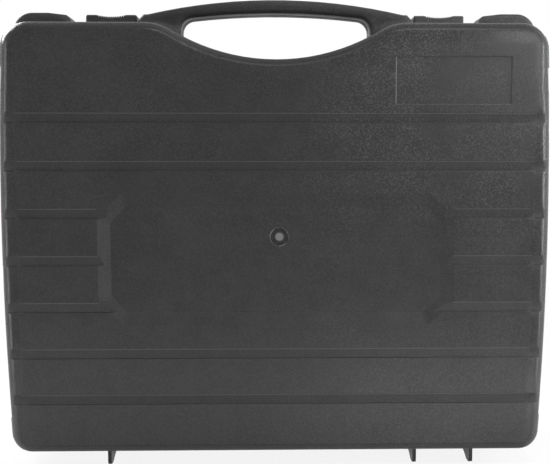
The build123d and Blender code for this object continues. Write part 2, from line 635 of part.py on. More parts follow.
def rear_shell():
    """Base: carries the stove, the rim lip and the rails that the latches slide on."""
    solid = plain_shell() + rim_lip() + stove_ribs()
    run = (LATCH_INNER + RAIL_RUN_OUT, BUMPER_INNER + RAIL_RUN_OUT)
    web = (RAIL_OFFSET, RAIL_OFFSET + RAIL_WEB)
    head = (RAIL_OFFSET, LATCH_HALF_DEPTH - LATCH_REAR_WALL - SEAT_GAP)
    rail = block(run, (CASE_TOP - WALL / 2, CASE_TOP + RAIL_TOP), web)
    rail += block(run, (CASE_TOP + RAIL_HEAD_LOW, CASE_TOP + RAIL_TOP), head)
    return REAR_PLANE * (solid + both_sides(rail))


def hinge_pins():
    """Headed steel pins, one in each hinge."""
    reach = HINGE_HALF_SPREAD + ARM_THICKNESS / 2 + SEAT_GAP
    head_x = HINGE_CENTRE + reach
    end_x = HINGE_CENTRE - reach
    pin = rod(HINGE_PIN_RADIUS, (end_x, 0, HINGE_AXIS_HEIGHT), (head_x, 0, HINGE_AXIS_HEIGHT))
    head_end = (head_x + HINGE_HEAD_LENGTH, 0, HINGE_AXIS_HEIGHT)
    pin += rod(HINGE_HEAD_RADIUS, (head_x, 0, HINGE_AXIS_HEIGHT), head_end)
    return Compound(children=[pin, mirror(pin, about=Plane.YZ)])


def latch(side):
    """Sliding latch: its rear lip runs under the base's rail and its front wall bars the lid's posts."""
    outer = LATCH_INNER + LATCH_LENGTH
    length = (LATCH_INNER, outer)
    low = CASE_TOP + LATCH_LIFT
    top = CASE_TOP + TOP_RAIL_RISE
    roof = CASE_TOP + LATCH_ROOF
    solid = block(length, (-LATCH_HALF_DEPTH, LATCH_HALF_DEPTH), (low, top))
    middle = (LATCH_INNER + outer) / 2
    hollow_radius = arc_radius(LATCH_LENGTH / 2 - HOLLOW_MARGIN, HOLLOW_DEPTH)
    hollow_z = top - HOLLOW_DEPTH + hollow_radius
    reach = LATCH_HALF_DEPTH + OVERRUN
    solid = fillet(solid.edges().filter_by(Axis.Z) + solid.edges().group_by(Axis.Z)[-1], LATCH_EDGE_RADIUS)
    solid -= rod(hollow_radius, (middle, -reach, hollow_z), (middle, reach, hollow_z))
    for step in range(RIB_COUNT):
        x = middle + (step - (RIB_COUNT - 1) / 2) * RIB_PITCH
        slot = (x - RIB_SLOT / 2, x + RIB_SLOT / 2)
        solid -= block(slot, (-reach, reach), (top - HOLLOW_DEPTH - RIB_DEPTH, top + OVERRUN))
        for y in (-LATCH_HALF_DEPTH, LATCH_HALF_DEPTH):
            solid -= block(slot, (y - RIB_DEPTH, y + RIB_DEPTH), (roof + RIB_LAND, top + OVERRUN))
    front = -(LATCH_HALF_DEPTH - LATCH_FRONT_WALL)
    rear = LATCH_HALF_DEPTH - LATCH_REAR_WALL
    run = (LATCH_INNER - OVERRUN, outer + OVERRUN)
    solid -= block(run, (front, rear - LATCH_LIP_REACH), (low - OVERRUN, roof))
    solid -= block(run, (front, rear), (low + LATCH_LIP_HEIGHT, roof))
    for first in (POST_FIRST, POST_FIRST + POST_PITCH):
        start = LATCH_INNER + first - LATCH_TRAVEL - SEAT_GAP
        gate = (start, start + POST_LENGTH + 2 * SEAT_GAP)
        solid -= block(gate, (-reach, front + OVERRUN), (low - OVERRUN, roof))
    return solid if side > 0 else mirror(solid, about=Plane.YZ)


# Stove body, drawn in the stove's own frame
def body_outline(inset=0):
    """Rounded outline of the stove body, inset evenly."""
    return RectangleRounded(STOVE_WIDTH - 2 * inset, STOVE_DEPTH - 2 * inset, BODY_CORNER - inset)


def cover_knuckles(first):
    """Hinge knuckles of the cartridge cover, every second one from the given place."""
    step = COVER_KNUCKLE_LENGTH + SEAT_GAP
    knuckles = Part()
    for middle in (BAY_FRONT + COVER_KNUCKLE_ROOM, BAY_BACK - COVER_KNUCKLE_ROOM):
        for place in first:
            y = middle + place * step
            ends = (y - COVER_KNUCKLE_LENGTH / 2, y + COVER_KNUCKLE_LENGTH / 2)
            knuckles += rod(
                COVER_KNUCKLE_RADIUS,
                (COVER_AXIS_X, ends[0], COVER_AXIS_HEIGHT),
                (COVER_AXIS_X, ends[1], COVER_AXIS_HEIGHT),
            )
            if place:
                sides = (COVER_AXIS_X - COVER_KNUCKLE_RADIUS, COVER_AXIS_X + COVER_KNUCKLE_RADIUS)
                knuckles += block(sides, ends, (BODY_TOP - SHEET / 2, COVER_AXIS_HEIGHT))
            else:
                tie = (COVER_RIGHT - COVER_SHEET / 2, COVER_AXIS_X)
                height = (COVER_AXIS_HEIGHT - COVER_SHEET, COVER_AXIS_HEIGHT + COVER_SHEET)
                knuckles += block(tie, ends, height)
    return knuckles


def cover_pin_bores():
    """Pin holes along the cover's hinge."""
    start = (COVER_AXIS_X, FRONT_Y, COVER_AXIS_HEIGHT)
    return rod(COVER_PIN_RADIUS + PIN_GAP, start, (COVER_AXIS_X, BACK_Y, COVER_AXIS_HEIGHT))


def lever_slot():
    """Slot in the front wall and fascia that the lock lever's stem runs in."""
    half = LEVER_STEM / 2 + SEAT_GAP
    low = LEVER_REST_HEIGHT - LEVER_TRAVEL - half
    return block(
        (LEVER_X - half, LEVER_X + half),
        (FRONT_Y - FASCIA_THICKNESS - OVERRUN, FRONT_Y + SHEET + OVERRUN),
        (low, LEVER_REST_HEIGHT + half),
    )


def spindle_hole():
    """Hole in the front wall and fascia for the valve spindle."""
    start = (CARTRIDGE_X, FRONT_Y - FASCIA_THICKNESS - OVERRUN, CARTRIDGE_HEIGHT)
    end = (CARTRIDGE_X, FRONT_Y + SHEET + OVERRUN, CARTRIDGE_HEIGHT)
    return rod(SPINDLE_HOLE_RADIUS, start, end)


def stove_body():
    """Pressed-steel body, open underneath, with the burner well and the cartridge bay in its deck."""
    base = Pos(0, 0, STOVE_FOOT_HEIGHT)
    solid = base * extrude(body_outline(), amount=BODY_HEIGHT)
    solid = fillet(outer_edges(solid), BODY_EDGE)
    room = base * extrude(body_outline(SHEET), amount=BODY_HEIGHT - SHEET)
    solid -= fillet(outer_edges(room), BODY_EDGE - SHEET)
    well_radius = DISH_RADIUS + OVERRUN
    solid -= Pos(BURNER_X, 0, BODY_TOP) * Cylinder(well_radius, 2 * SHEET + OVERRUN)
    deck = (BODY_TOP - SHEET - OVERRUN, BODY_TOP + OVERRUN)
    solid -= block((BAY_LEFT, BAY_RIGHT), (BAY_FRONT, BAY_BACK), deck)
    middle = STOVE_FOOT_HEIGHT + BODY_HEIGHT / 2
    slot = (middle - VENT_HEIGHT / 2, middle + VENT_HEIGHT / 2)
    through = (-STOVE_WIDTH / 2 - OVERRUN, STOVE_WIDTH / 2 + OVERRUN)
    for step in range(VENT_COUNT):
        y = (step - (VENT_COUNT - 1) / 2) * VENT_PITCH
        solid -= block(through, (y - VENT_WIDTH / 2, y + VENT_WIDTH / 2), slot)
    solid += cover_knuckles((-1, 1))
    return solid - lever_slot() - spindle_hole() - cover_pin_bores()


def floor_outline():
    """Outline of the bottom plate, which fits inside the body's walls."""
    return body_outline(SHEET + SEAT_GAP)


def foot_places():
    """Centres of the four feet."""
    x = STOVE_WIDTH / 2 - FOOT_INSET
    y = STOVE_DEPTH / 2 - FOOT_INSET
    return [(sx * x, sy * y) for sx in (-1, 1) for sy in (-1, 1)]


def screw_places():
    """Centres of the bottom plate's screws."""
    x = SCREW_SPREAD_SHARES[0] * STOVE_WIDTH
    y = SCREW_SPREAD_SHARES[1] * STOVE_DEPTH
    return [(sx * x, sy * y) for sx in (-1, 1) for sy in (-1, 1)]


def bottom_plate():
    """Steel floor with air slots under the burner and the post that anchors the pusher's spring."""
    solid = Pos(0, 0, STOVE_FOOT_HEIGHT) * extrude(floor_outline(), amount=SHEET)
    depth = (STOVE_FOOT_HEIGHT - OVERRUN, FLOOR_TOP + OVERRUN)
    for step in range(FLOOR_VENT_COUNT):
        offset_y = (step - (FLOOR_VENT_COUNT - 1) / 2) * VENT_PITCH
        if abs(offset_y) < BURNER_STAND_RADIUS + VENT_WIDTH:
            continue
        ends = (BURNER_X - FLOOR_VENT_LENGTH / 2, BURNER_X + FLOOR_VENT_LENGTH / 2)
        solid -= block(ends, (offset_y - VENT_WIDTH / 2, offset_y + VENT_WIDTH / 2), depth)
    hole = Cylinder(SCREW_SHANK_RADIUS + PIN_GAP, 2 * OVERRUN + SHEET, align=ON_BASE)
    for x, y in screw_places():
        solid -= Pos(x, y, depth[0]) * hole
    return solid + block(
        (CARTRIDGE_X - SPRING_TAB_HALF, CARTRIDGE_X + SPRING_TAB_HALF),
        (SPRING_TAB_Y, SPRING_TAB_Y + SHEET),
        (STOVE_FOOT_HEIGHT, SPRING_HEIGHT + SPRING_RADIUS + SPRING_WIRE),
    )


def stove_feet():
    """Four tapered rubber feet under the bottom plate."""
    foot = Cone(FOOT_TIP_RADIUS, FOOT_RADIUS, STOVE_FOOT_HEIGHT, align=ON_BASE)
    return Compound(children=[Pos(x, y, 0) * foot for x, y in foot_places()])


def bottom_screws():
    """Button-head screws that hold the bottom plate."""
    seat = STOVE_FOOT_HEIGHT
    screw = rod(SCREW_HEAD_RADIUS, (0, 0, seat - SCREW_HEAD_HEIGHT), (0, 0, seat))
    screw += rod(SCREW_SHANK_RADIUS, (0, 0, seat), (0, 0, seat + SCREW_SHANK_LENGTH))
    return Compound(children=[Pos(x, y, 0) * screw for x, y in screw_places()])


# Stove: burner side
def drip_pan():
    """Lift-out tray: a flat plate on the deck with a round dish and a collar round the burner."""
    top = BODY_TOP + SHEET
    dish_top = top - DISH_DROP
    foot = DISH_RADIUS - DISH_SLOPE
    dish = turned([
        (DISH_RADIUS, top),
        (foot, dish_top),
        (COLLAR_RADIUS, dish_top),
        (COLLAR_RADIUS, dish_top + COLLAR_HEIGHT),
        (COLLAR_RADIUS - SHEET, dish_top + COLLAR_HEIGHT),
        (COLLAR_RADIUS - SHEET, dish_top - SHEET),
        (foot + SHEET / 2, dish_top - SHEET),
        (DISH_RADIUS, BODY_TOP),
    ])
    left = -STOVE_WIDTH / 2 + DRIP_MARGIN
    right = COVER_LEFT - DRIP_MARGIN / 2
    width = right - left
    plate = RectangleRounded(width, STOVE_DEPTH - 2 * DRIP_MARGIN, DRIP_CORNER)
    plate = Pos((left + right) / 2, 0, BODY_TOP) * extrude(plate, amount=SHEET)
    plate -= Pos(BURNER_X, 0, BODY_TOP) * Cylinder(DISH_RADIUS - SHEET, 2 * OVERRUN + SHEET)
    return plate + Pos(BURNER_X, 0, 0) * dish


def pan_support():
    """Pot trivet, stored upside down in the dish: rings on top and arms hanging from them."""
    floor = BODY_TOP + SHEET - DISH_DROP
    ring_low = floor + TRIVET_ARM_HEIGHT - TRIVET_RING_HEIGHT
    solid = Part()
    for outer in (TRIVET_RADIUS, TRIVET_EYE_RADIUS + TRIVET_RING_WIDTH):
        ring = Circle(outer) - Circle(outer - TRIVET_RING_WIDTH)
        solid += Pos(0, 0, ring_low) * extrude(ring, amount=TRIVET_RING_HEIGHT)
    top = floor + TRIVET_ARM_HEIGHT
    over_rim = floor + DISH_DROP + TRIVET_RIM_GAP
    arm = make_face(Polyline(
        (TRIVET_EYE_RADIUS, floor),
        (DISH_RADIUS - DISH_SLOPE - TRIVET_SIDE_GAP, floor),
        (DISH_RADIUS - TRIVET_SIDE_GAP, over_rim),
        (TRIVET_RADIUS, over_rim),
        (TRIVET_RADIUS, top),
        (TRIVET_EYE_RADIUS, top),
        close=True,
    ))
    arm = Pos(0, TRIVET_ARM_THICKNESS / 2, 0) * extrude(Plane.XZ * arm, amount=TRIVET_ARM_THICKNESS)
    for step in range(TRIVET_ARM_COUNT):
        solid += Rot(0, 0, (step + 1 / 2) * 360 / TRIVET_ARM_COUNT) * arm
    return Pos(BURNER_X, 0, 0) * solid


def electrode_place():
    """Where the spark electrode stands beside the burner."""
    angle = radians(ELECTRODE_ANGLE)
    return BURNER_X + ELECTRODE_REACH * cos(angle), ELECTRODE_REACH * sin(angle)


def burner_cup():
    """Cast burner body with the socket of the mixing tube and the ear of the electrode."""
    solid = rod(CUP_RADIUS, (BURNER_X, 0, CUP_LOW), (BURNER_X, 0, CUP_RIM))
    socket_start = CUP_RADIUS - CUP_WALL
    socket = Cylinder(SOCKET_RADIUS, SOCKET_LENGTH + CUP_WALL, align=ON_BASE)
    ear_low = (CUP_LOW + CUP_RIM - EAR_THICKNESS) / 2
    ear_side = (-EAR_HALF_WIDTH, EAR_HALF_WIDTH)
    ear = block((0, ELECTRODE_REACH + EAR_HALF_WIDTH), ear_side, (ear_low, ear_low + EAR_THICKNESS))
    solid += GAS_PLANE.offset(socket_start) * socket
    solid += Pos(BURNER_X, 0, 0) * (Rot(0, 0, ELECTRODE_ANGLE) * ear)
    solid -= rod(
        CUP_RADIUS - CUP_WALL,
        (BURNER_X, 0, CUP_LOW + CUP_WALL),
        (BURNER_X, 0, CUP_RIM + OVERRUN),
    )
    bore = Cylinder(TUBE_RADIUS + PIN_GAP, SOCKET_LENGTH + CUP_WALL + 2 * OVERRUN, align=ON_BASE)
    solid -= GAS_PLANE.offset(socket_start - OVERRUN) * bore
    x, y = electrode_place()
    return solid - rod(ELECTRODE_RADIUS + PIN_GAP, (x, y, CUP_LOW - OVERRUN), (x, y, CUP_RIM + OVERRUN))


def burner_cap():
    """Burner head with flame ports round its edge, an open eye and a spigot inside the cup."""
    top = CUP_RIM + CAP_HEIGHT
    solid = turned([
        (CAP_EYE_RADIUS, CUP_RIM),
        (CAP_RADIUS, CUP_RIM),
        (CAP_RADIUS, top - CAP_CROWN),
        (CAP_RADIUS - CAP_CROWN, top),
        (CAP_EYE_RADIUS + CAP_CROWN, top),
        (CAP_EYE_RADIUS, top - CAP_CROWN),
    ])
    spigot = Circle(CUP_RADIUS - CUP_WALL - SEAT_GAP) - Circle(CUP_RADIUS - 2 * CUP_WALL)
    solid += Pos(0, 0, CUP_RIM - CUP_WALL) * extrude(spigot, amount=2 * CUP_WALL)
    ports = (CUP_RIM + PORT_LOW, CUP_RIM + PORT_LOW + PORT_HEIGHT)
    port = block((CAP_RADIUS - PORT_DEPTH, CAP_RADIUS + OVERRUN), (-PORT_WIDTH / 2, PORT_WIDTH / 2), ports)
    for step in range(PORT_COUNT):
        solid -= Rot(0, 0, step * 360 / PORT_COUNT) * port
    return Pos(BURNER_X, 0, 0) * solid


def burner_stand():
    """Sheet-steel stand between the bottom plate and the burner cup, with four windows."""
    ring = Circle(BURNER_STAND_RADIUS) - Circle(BURNER_STAND_RADIUS - BURNER_STAND_WALL)
    solid = Pos(0, 0, FLOOR_TOP) * extrude(ring, amount=CUP_LOW - FLOOR_TOP)
    reach = BURNER_STAND_RADIUS + OVERRUN
    half = STAND_WINDOW / 2
    band = (FLOOR_TOP + STAND_BAND, CUP_LOW - STAND_BAND)
    solid -= block((-reach, reach), (-half, half), band) + block((-half, half), (-reach, reach), band)
    return Pos(BURNER_X, 0, 0) * solid


def mixing_tube():
    """Straight tube that draws in air beside the jet and feeds the burner cup."""
    start = CUP_RADIUS - CUP_WALL / 2
    end = GAS_SPAN - OUTLET_RADIUS - JET_LENGTH - TUBE_MOUTH_GAP
    ring = Circle(TUBE_RADIUS) - Circle(TUBE_RADIUS - TUBE_WALL)
    return extrude(GAS_PLANE.offset(start) * ring, amount=end - start)


def gas_jet():
    """Brass jet on the regulator's outlet."""
    start = GAS_SPAN - OUTLET_RADIUS - JET_LENGTH
    nose = Cone(JET_RADIUS / 2, JET_RADIUS, JET_NOSE_LENGTH, align=ON_BASE)
    stem_length = JET_LENGTH - JET_NOSE_LENGTH
    solid = nose + Pos(0, 0, JET_NOSE_LENGTH) * Cylinder(JET_RADIUS, stem_length, align=ON_BASE)
    solid -= Cylinder(JET_BORE, JET_LENGTH, align=ON_BASE)
    return GAS_PLANE.offset(start) * solid


def electrode():
    """Ceramic body of the spark electrode."""
    x, y = electrode_place()
    low = CUP_LOW + ELECTRODE_LIFT
    return rod(ELECTRODE_RADIUS, (x, y, low), (x, y, low + ELECTRODE_LENGTH))


def electrode_wire():
    """Wire that stands out of the ceramic beside the flame ports."""
    x, y = electrode_place()
    low = CUP_LOW + ELECTRODE_LIFT + ELECTRODE_LENGTH
    return rod(ELECTRODE_TIP_RADIUS, (x, y, low), (x, y, low + ELECTRODE_TIP_LENGTH))


def piezo_place():
    """Low corner and middle of the piezo igniter on the regulator's bracket."""
    x = BRACKET_LEFT + PIEZO_MARGIN
    y = REGULATOR_Y + REGULATOR_LENGTH / 2
    z = FLOOR_TOP + BRACKET_THICKNESS
    return x, y, z


def piezo_igniter():
    """Piezo igniter with the nose that its lead comes out of."""
    x, y, z = piezo_place()
    solid = block((x, x + PIEZO_WIDTH), (y - PIEZO_DEPTH / 2, y + PIEZO_DEPTH / 2), (z, z + PIEZO_HEIGHT))
    solid = fillet(solid.edges().filter_by(Axis.Z), PIEZO_MARGIN)
    middle = z + PIEZO_HEIGHT / 2
    return solid + rod(PIEZO_NOSE_RADIUS, (x + PIEZO_MARGIN, y, middle), (x - PIEZO_NOSE_LENGTH, y, middle))


def lead_path():
    """Run of the spark lead from the electrode along the floor to the igniter."""
    x, y = electrode_place()
    low = FLOOR_TOP + LEAD_RADIUS + SEAT_GAP
    piezo_x, piezo_y, piezo_z = piezo_place()
    nose_x = piezo_x - PIEZO_NOSE_LENGTH
    middle = piezo_z + PIEZO_HEIGHT / 2
    return FilletPolyline(
        (x, y, CUP_LOW + ELECTRODE_LIFT),
        (x, y, low),
        (nose_x - 2 * LEAD_RAMP, piezo_y, low),
        (nose_x - LEAD_RAMP, piezo_y, middle),
        (nose_x, piezo_y, middle),
        radius=LEAD_BEND,
    )


def spark_lead():
    """Insulated lead from the igniter to the electrode."""
    path = lead_path()
    return sweep(Plane(origin=path @ 0, z_dir=path % 0) * Circle(LEAD_RADIUS), path=path)


# Stove: cartridge side
def regulator():
    """Regulator and tap: a round body on a foot, with its outlet elbow and cartridge inlet."""
    centre = (CARTRIDGE_X, REGULATOR_Y, CARTRIDGE_HEIGHT)
    back = (CARTRIDGE_X, REGULATOR_BACK_Y, CARTRIDGE_HEIGHT)
    solid = rod(REGULATOR_RADIUS - REGULATOR_RIM, centre, back)
    rim_y = REGULATOR_BACK_Y - REGULATOR_RIM_DEPTH
    solid += rod(REGULATOR_RADIUS, (CARTRIDGE_X, rim_y, CARTRIDGE_HEIGHT), back)
    foot = (CARTRIDGE_X - REGULATOR_FOOT_HALF, CARTRIDGE_X + REGULATOR_FOOT_HALF)
    solid += block(foot, (REGULATOR_Y, REGULATOR_BACK_Y), (REGULATOR_FOOT_HEIGHT, CARTRIDGE_HEIGHT))
    elbow = (OUTLET_X, OUTLET_Y, GAS_LINE_HEIGHT)
    solid += rod(OUTLET_RADIUS, elbow, (CARTRIDGE_X, OUTLET_Y, GAS_LINE_HEIGHT))
    solid += Pos(*elbow) * Sphere(OUTLET_RADIUS)
    nozzle = Cylinder(JET_RADIUS, OUTLET_RADIUS, align=ON_BASE)
    solid += GAS_PLANE.offset(GAS_SPAN - OUTLET_RADIUS) * nozzle
    tap_end = (CARTRIDGE_X, REGULATOR_Y + SPINDLE_DEPTH + SEAT_GAP, CARTRIDGE_HEIGHT)
    solid -= rod(SPINDLE_RADIUS + PIN_GAP, centre, tap_end)
    inlet = (CARTRIDGE_X, REGULATOR_BACK_Y - REGULATOR_RIM_DEPTH, CARTRIDGE_HEIGHT)
    return solid - rod(SEAL_BORE, inlet, back)


def inlet_seal():
    """Rubber ring that the cartridge's valve presses on."""
    start = (CARTRIDGE_X, REGULATOR_BACK_Y, CARTRIDGE_HEIGHT)
    end = (CARTRIDGE_X, REGULATOR_BACK_Y + SEAL_THICKNESS, CARTRIDGE_HEIGHT)
    return rod(SEAL_RADIUS, start, end) - rod(SEAL_BORE, start, end)


def regulator_bracket():
    """Bracket on the bottom plate that carries the regulator and the igniter."""
    depth = (REGULATOR_Y, REGULATOR_BACK_Y)
    right = CARTRIDGE_X + REGULATOR_FOOT_HALF
    solid = block((BRACKET_LEFT, right), depth, (FLOOR_TOP, FLOOR_TOP + BRACKET_THICKNESS))
    left = CARTRIDGE_X - REGULATOR_FOOT_HALF
    return solid + block((left, right), depth, (FLOOR_TOP, REGULATOR_FOOT_HEIGHT))


def partition():
    """Heat shield between the burner and the cartridge bay."""
    side = (PARTITION_X, PARTITION_X + SHEET)
    inside = STOVE_DEPTH / 2 - SHEET - SEAT_GAP
    solid = block(side, (-inside, inside), (FLOOR_TOP, BODY_TOP - SHEET - SEAT_GAP))
    solid = chamfer(solid.edges().group_by(Axis.Z)[-1].filter_by(Axis.X), BODY_EDGE)
    solid -= GAS_PLANE * Cylinder(TUBE_RADIUS + 2 * OVERRUN, GAS_SPAN, align=ON_BASE)
    _, y, z = piezo_place()
    middle = z + PIEZO_HEIGHT / 2
    reach = (PARTITION_X - OVERRUN, PARTITION_X + SHEET + OVERRUN)
    return solid - rod(LEAD_HOLE_RADIUS, (reach[0], y, middle), (reach[1], y, middle))


def cartridge_cradles():
    """Two saddles on the bottom plate that the cartridge lies in."""
    saddle = block(
        (CARTRIDGE_X - CRADLE_HALF_WIDTH, CARTRIDGE_X + CRADLE_HALF_WIDTH),
        (-CRADLE_THICKNESS / 2, CRADLE_THICKNESS / 2),
        (FLOOR_TOP, CRADLE_TOP),
    )
    reach = CRADLE_THICKNESS + OVERRUN
    start = (CARTRIDGE_X, -reach, CARTRIDGE_HEIGHT)
    saddle -= rod(CARTRIDGE_RADIUS + SEAT_GAP, start, (CARTRIDGE_X, reach, CARTRIDGE_HEIGHT))
    places = (BAY_FRONT + CRADLE_ROOM, BAY_BACK - CRADLE_ROOM)
    return Compound(children=[Pos(0, y, 0) * saddle for y in places])


def cover_section(inset):
    """Cross-section of the cartridge cover, inset on the sides and the top."""
    low = BODY_TOP + SEAT_GAP
    left = COVER_LEFT + inset
    right = COVER_RIGHT - inset
    shoulder = low + COVER_SIDE - inset
    crown = ((left + right) / 2, low + COVER_SIDE + COVER_RISE - inset)
    lines = [
        Line((left, shoulder), (left, low)),
        Line((left, low), (right, low)),
        Line((right, low), (right, shoulder)),
        ThreePointArc((right, shoulder), crown, (left, shoulder)),
    ]
    return make_face(lines)


def cartridge_cover():
    """Arched sheet-steel cover over the cartridge bay, hinged along its outer side."""
    front = BAY_FRONT - COVER_LAP
    back = BAY_BACK + COVER_LAP
    plane = Plane(origin=(0, front, 0), x_dir=(1, 0, 0), z_dir=(0, -1, 0))
    solid = extrude(plane * cover_section(0), amount=front - back)
    room_length = back - front - 2 * COVER_SHEET
    solid -= extrude(plane.offset(-COVER_SHEET) * cover_section(COVER_SHEET), amount=-room_length)
    middle = (front + back) / 2
    lift = BODY_TOP + COVER_TAB_LIFT
    solid += block(
        (COVER_LEFT - COVER_TAB_REACH, COVER_LEFT + COVER_SHEET),
        (middle - COVER_TAB_HALF, middle + COVER_TAB_HALF),
        (lift, lift + COVER_SHEET),
    )
    return solid + cover_knuckles((0,)) - cover_pin_bores()


def cover_pin():
    """Wire pin through the cover's knuckles."""
    beyond = 2 * COVER_KNUCKLE_LENGTH - COVER_KNUCKLE_ROOM
    start = (COVER_AXIS_X, BAY_FRONT - beyond, COVER_AXIS_HEIGHT)
    return rod(COVER_PIN_RADIUS, start, (COVER_AXIS_X, BAY_BACK + beyond, COVER_AXIS_HEIGHT))


# Stove: control panel, knob and cartridge lock
def front_fascia():
    """Panel on the front wall behind the knob and the lock lever."""
    middle = ((FASCIA_LEFT + FASCIA_RIGHT) / 2, FRONT_Y, (FASCIA_LOW + FASCIA_HIGH) / 2)
    face = RectangleRounded(FASCIA_RIGHT - FASCIA_LEFT, FASCIA_HIGH - FASCIA_LOW, FASCIA_CORNER)
    plane = Plane(origin=middle, x_dir=(1, 0, 0), z_dir=(0, -1, 0))
    return extrude(plane * face, amount=FASCIA_THICKNESS) - lever_slot() - spindle_hole()


def knob_plane():
    """Plane of the knob's back, with Z out towards the cook."""
    origin = (CARTRIDGE_X, FRONT_Y - FASCIA_THICKNESS - SEAT_GAP, CARTRIDGE_HEIGHT)
    return Plane(origin=origin, x_dir=(1, 0, 0), z_dir=(0, -1, 0))


def valve_spindle():
    """Spindle of the tap, from inside the regulator to inside the knob."""
    tip_y = knob_plane().origin.Y - KNOB_BORE_DEPTH + SEAT_GAP
    start = (CARTRIDGE_X, tip_y, CARTRIDGE_HEIGHT)
    return rod(SPINDLE_RADIUS, start, (CARTRIDGE_X, REGULATOR_Y + SPINDLE_DEPTH, CARTRIDGE_HEIGHT))


def control_knob():
    """Moulded knob with a round skirt and a finger bar."""
    solid = Cylinder(KNOB_RADIUS, KNOB_SKIRT, align=ON_BASE)
    solid += Cylinder(KNOB_BODY_RADIUS, KNOB_LENGTH, align=ON_BASE)
    solid = fillet(outer_edges(solid), KNOB_EDGE)
    reach = (-KNOB_RADIUS, KNOB_RADIUS)
    for side in ((KNOB_GRIP_HALF, KNOB_RADIUS), (-KNOB_RADIUS, -KNOB_GRIP_HALF)):
        solid -= block(side, reach, (KNOB_LENGTH - KNOB_GRIP_CUT, KNOB_LENGTH + OVERRUN))
    solid -= Cylinder(SPINDLE_RADIUS + PIN_GAP, KNOB_BORE_DEPTH, align=ON_BASE)
    return knob_plane() * solid


def cam_slot():
    """Sloping slot of the cam plate: the lever's way down becomes the pusher's way forward."""
    start = Vector(CAM_PIN_Y, CAM_PIN_HEIGHT)
    end = start + Vector(-PUSHER_TRAVEL, LEVER_TRAVEL)
    face = SlotCenterToCenter((end - start).length, 2 * (CAM_PIN_RADIUS + SEAT_GAP))
    middle = (start + end) / 2
    angle = (end - start).get_signed_angle(Vector(1, 0, 0), Vector(0, 0, -1))
    plane = Plane(origin=(LEVER_X - CAM_THICKNESS, 0, 0), x_dir=(0, 1, 0), z_dir=(1, 0, 0))
    return extrude(plane * (Pos(middle.X, middle.Y) * (Rot(0, 0, angle) * face)), amount=2 * CAM_THICKNESS)


def lock_lever():
    """Lock lever: a finger tab outside, a stem through the slot and the cam plate inside."""
    half = LEVER_STEM / 2
    tab_back = FRONT_Y - FASCIA_THICKNESS - SEAT_GAP
    tab = block(
        (LEVER_X - LEVER_TAB_WIDTH / 2, LEVER_X + LEVER_TAB_WIDTH / 2),
        (tab_back - LEVER_TAB_REACH, tab_back),
        (LEVER_REST_HEIGHT - LEVER_TAB_HEIGHT / 2, LEVER_REST_HEIGHT + LEVER_TAB_HEIGHT / 2),
    )
    solid = fillet(tab.edges().group_by(Axis.Y)[0], KNOB_EDGE)
    stem_end = CAM_FRONT_Y + OVERRUN
    heights = (LEVER_REST_HEIGHT - half, LEVER_REST_HEIGHT + half)
    solid += block((LEVER_X - half, LEVER_X + half), (tab_back - OVERRUN, stem_end), heights)
    plate = (LEVER_X - CAM_THICKNESS / 2, LEVER_X + CAM_THICKNESS / 2)
    solid += block(plate, (CAM_FRONT_Y, CAM_FRONT_Y + CAM_DEPTH), (CAM_LOW, heights[1]))
    return solid - cam_slot()


def cartridge_pusher():
    """Slide that pushes the cartridge onto the inlet: strip, rear tab, front ear and cam pin."""
    low = FLOOR_TOP + SEAT_GAP
    plate = (low, low + PUSHER_THICKNESS)
    ear_right = LEVER_X - CAM_THICKNESS / 2 - SEAT_GAP
    strip = (ear_right - PUSHER_STRIP, ear_right)
    front = CAM_PIN_Y - PUSHER_EAR_LENGTH / 2
    solid = block(strip, (front, PUSHER_BACK), plate)
    left = CARTRIDGE_X - PUSHER_TAB_HALF
    solid += block((left, ear_right), (PUSHER_BACK - PUSHER_STRIP, PUSHER_BACK), plate)
    tab = (PUSHER_BACK - PUSHER_THICKNESS, PUSHER_BACK)
    solid += block((left, CARTRIDGE_X + PUSHER_TAB_HALF), tab, (low, PUSHER_TAB_HEIGHT))
    ear = (ear_right - PUSHER_THICKNESS, ear_right)
    solid += block(ear, (front, front + PUSHER_EAR_LENGTH), (low, PUSHER_EAR_TOP))
    pin_end = LEVER_X + CAM_THICKNESS / 2 + SEAT_GAP
    pin_start = (ear[0], CAM_PIN_Y, CAM_PIN_HEIGHT)
    return solid + rod(CAM_PIN_RADIUS, pin_start, (pin_end, CAM_PIN_Y, CAM_PIN_HEIGHT))


def least_gap(coil, pitch):
    """Least clear distance between one turn of the spring's wire and the next, measured on points."""
    points = [coil @ (step / SPRING_GAP_POINTS) for step in range(SPRING_GAP_POINTS + 1)]
    apart = [(a - b).length for a in points for b in points if b.Z - a.Z > pitch / 2]
    return min(apart) - 2 * SPRING_WIRE


def pusher_spring():
    """Return spring between the pusher's rear tab and the bottom plate's tab."""
    length = SPRING_TAB_Y - PUSHER_BACK - 2 * SPRING_WIRE
    pitch = length / SPRING_TURNS
    coil = Helix(pitch=pitch, height=length, radius=SPRING_RADIUS)
    print(f"spring: least gap between turns {least_gap(coil, pitch):.2f} mm")
    section = RegularPolygon(SPRING_WIRE, SPRING_WIRE_SIDES)
    wire = sweep(Plane(origin=coil @ 0, z_dir=coil % 0) * section, path=coil, is_frenet=True)
    start = (CARTRIDGE_X, PUSHER_BACK + SPRING_WIRE, SPRING_HEIGHT)
    return Plane(origin=start, x_dir=(1, 0, 0), z_dir=(0, 1, 0)) * wire


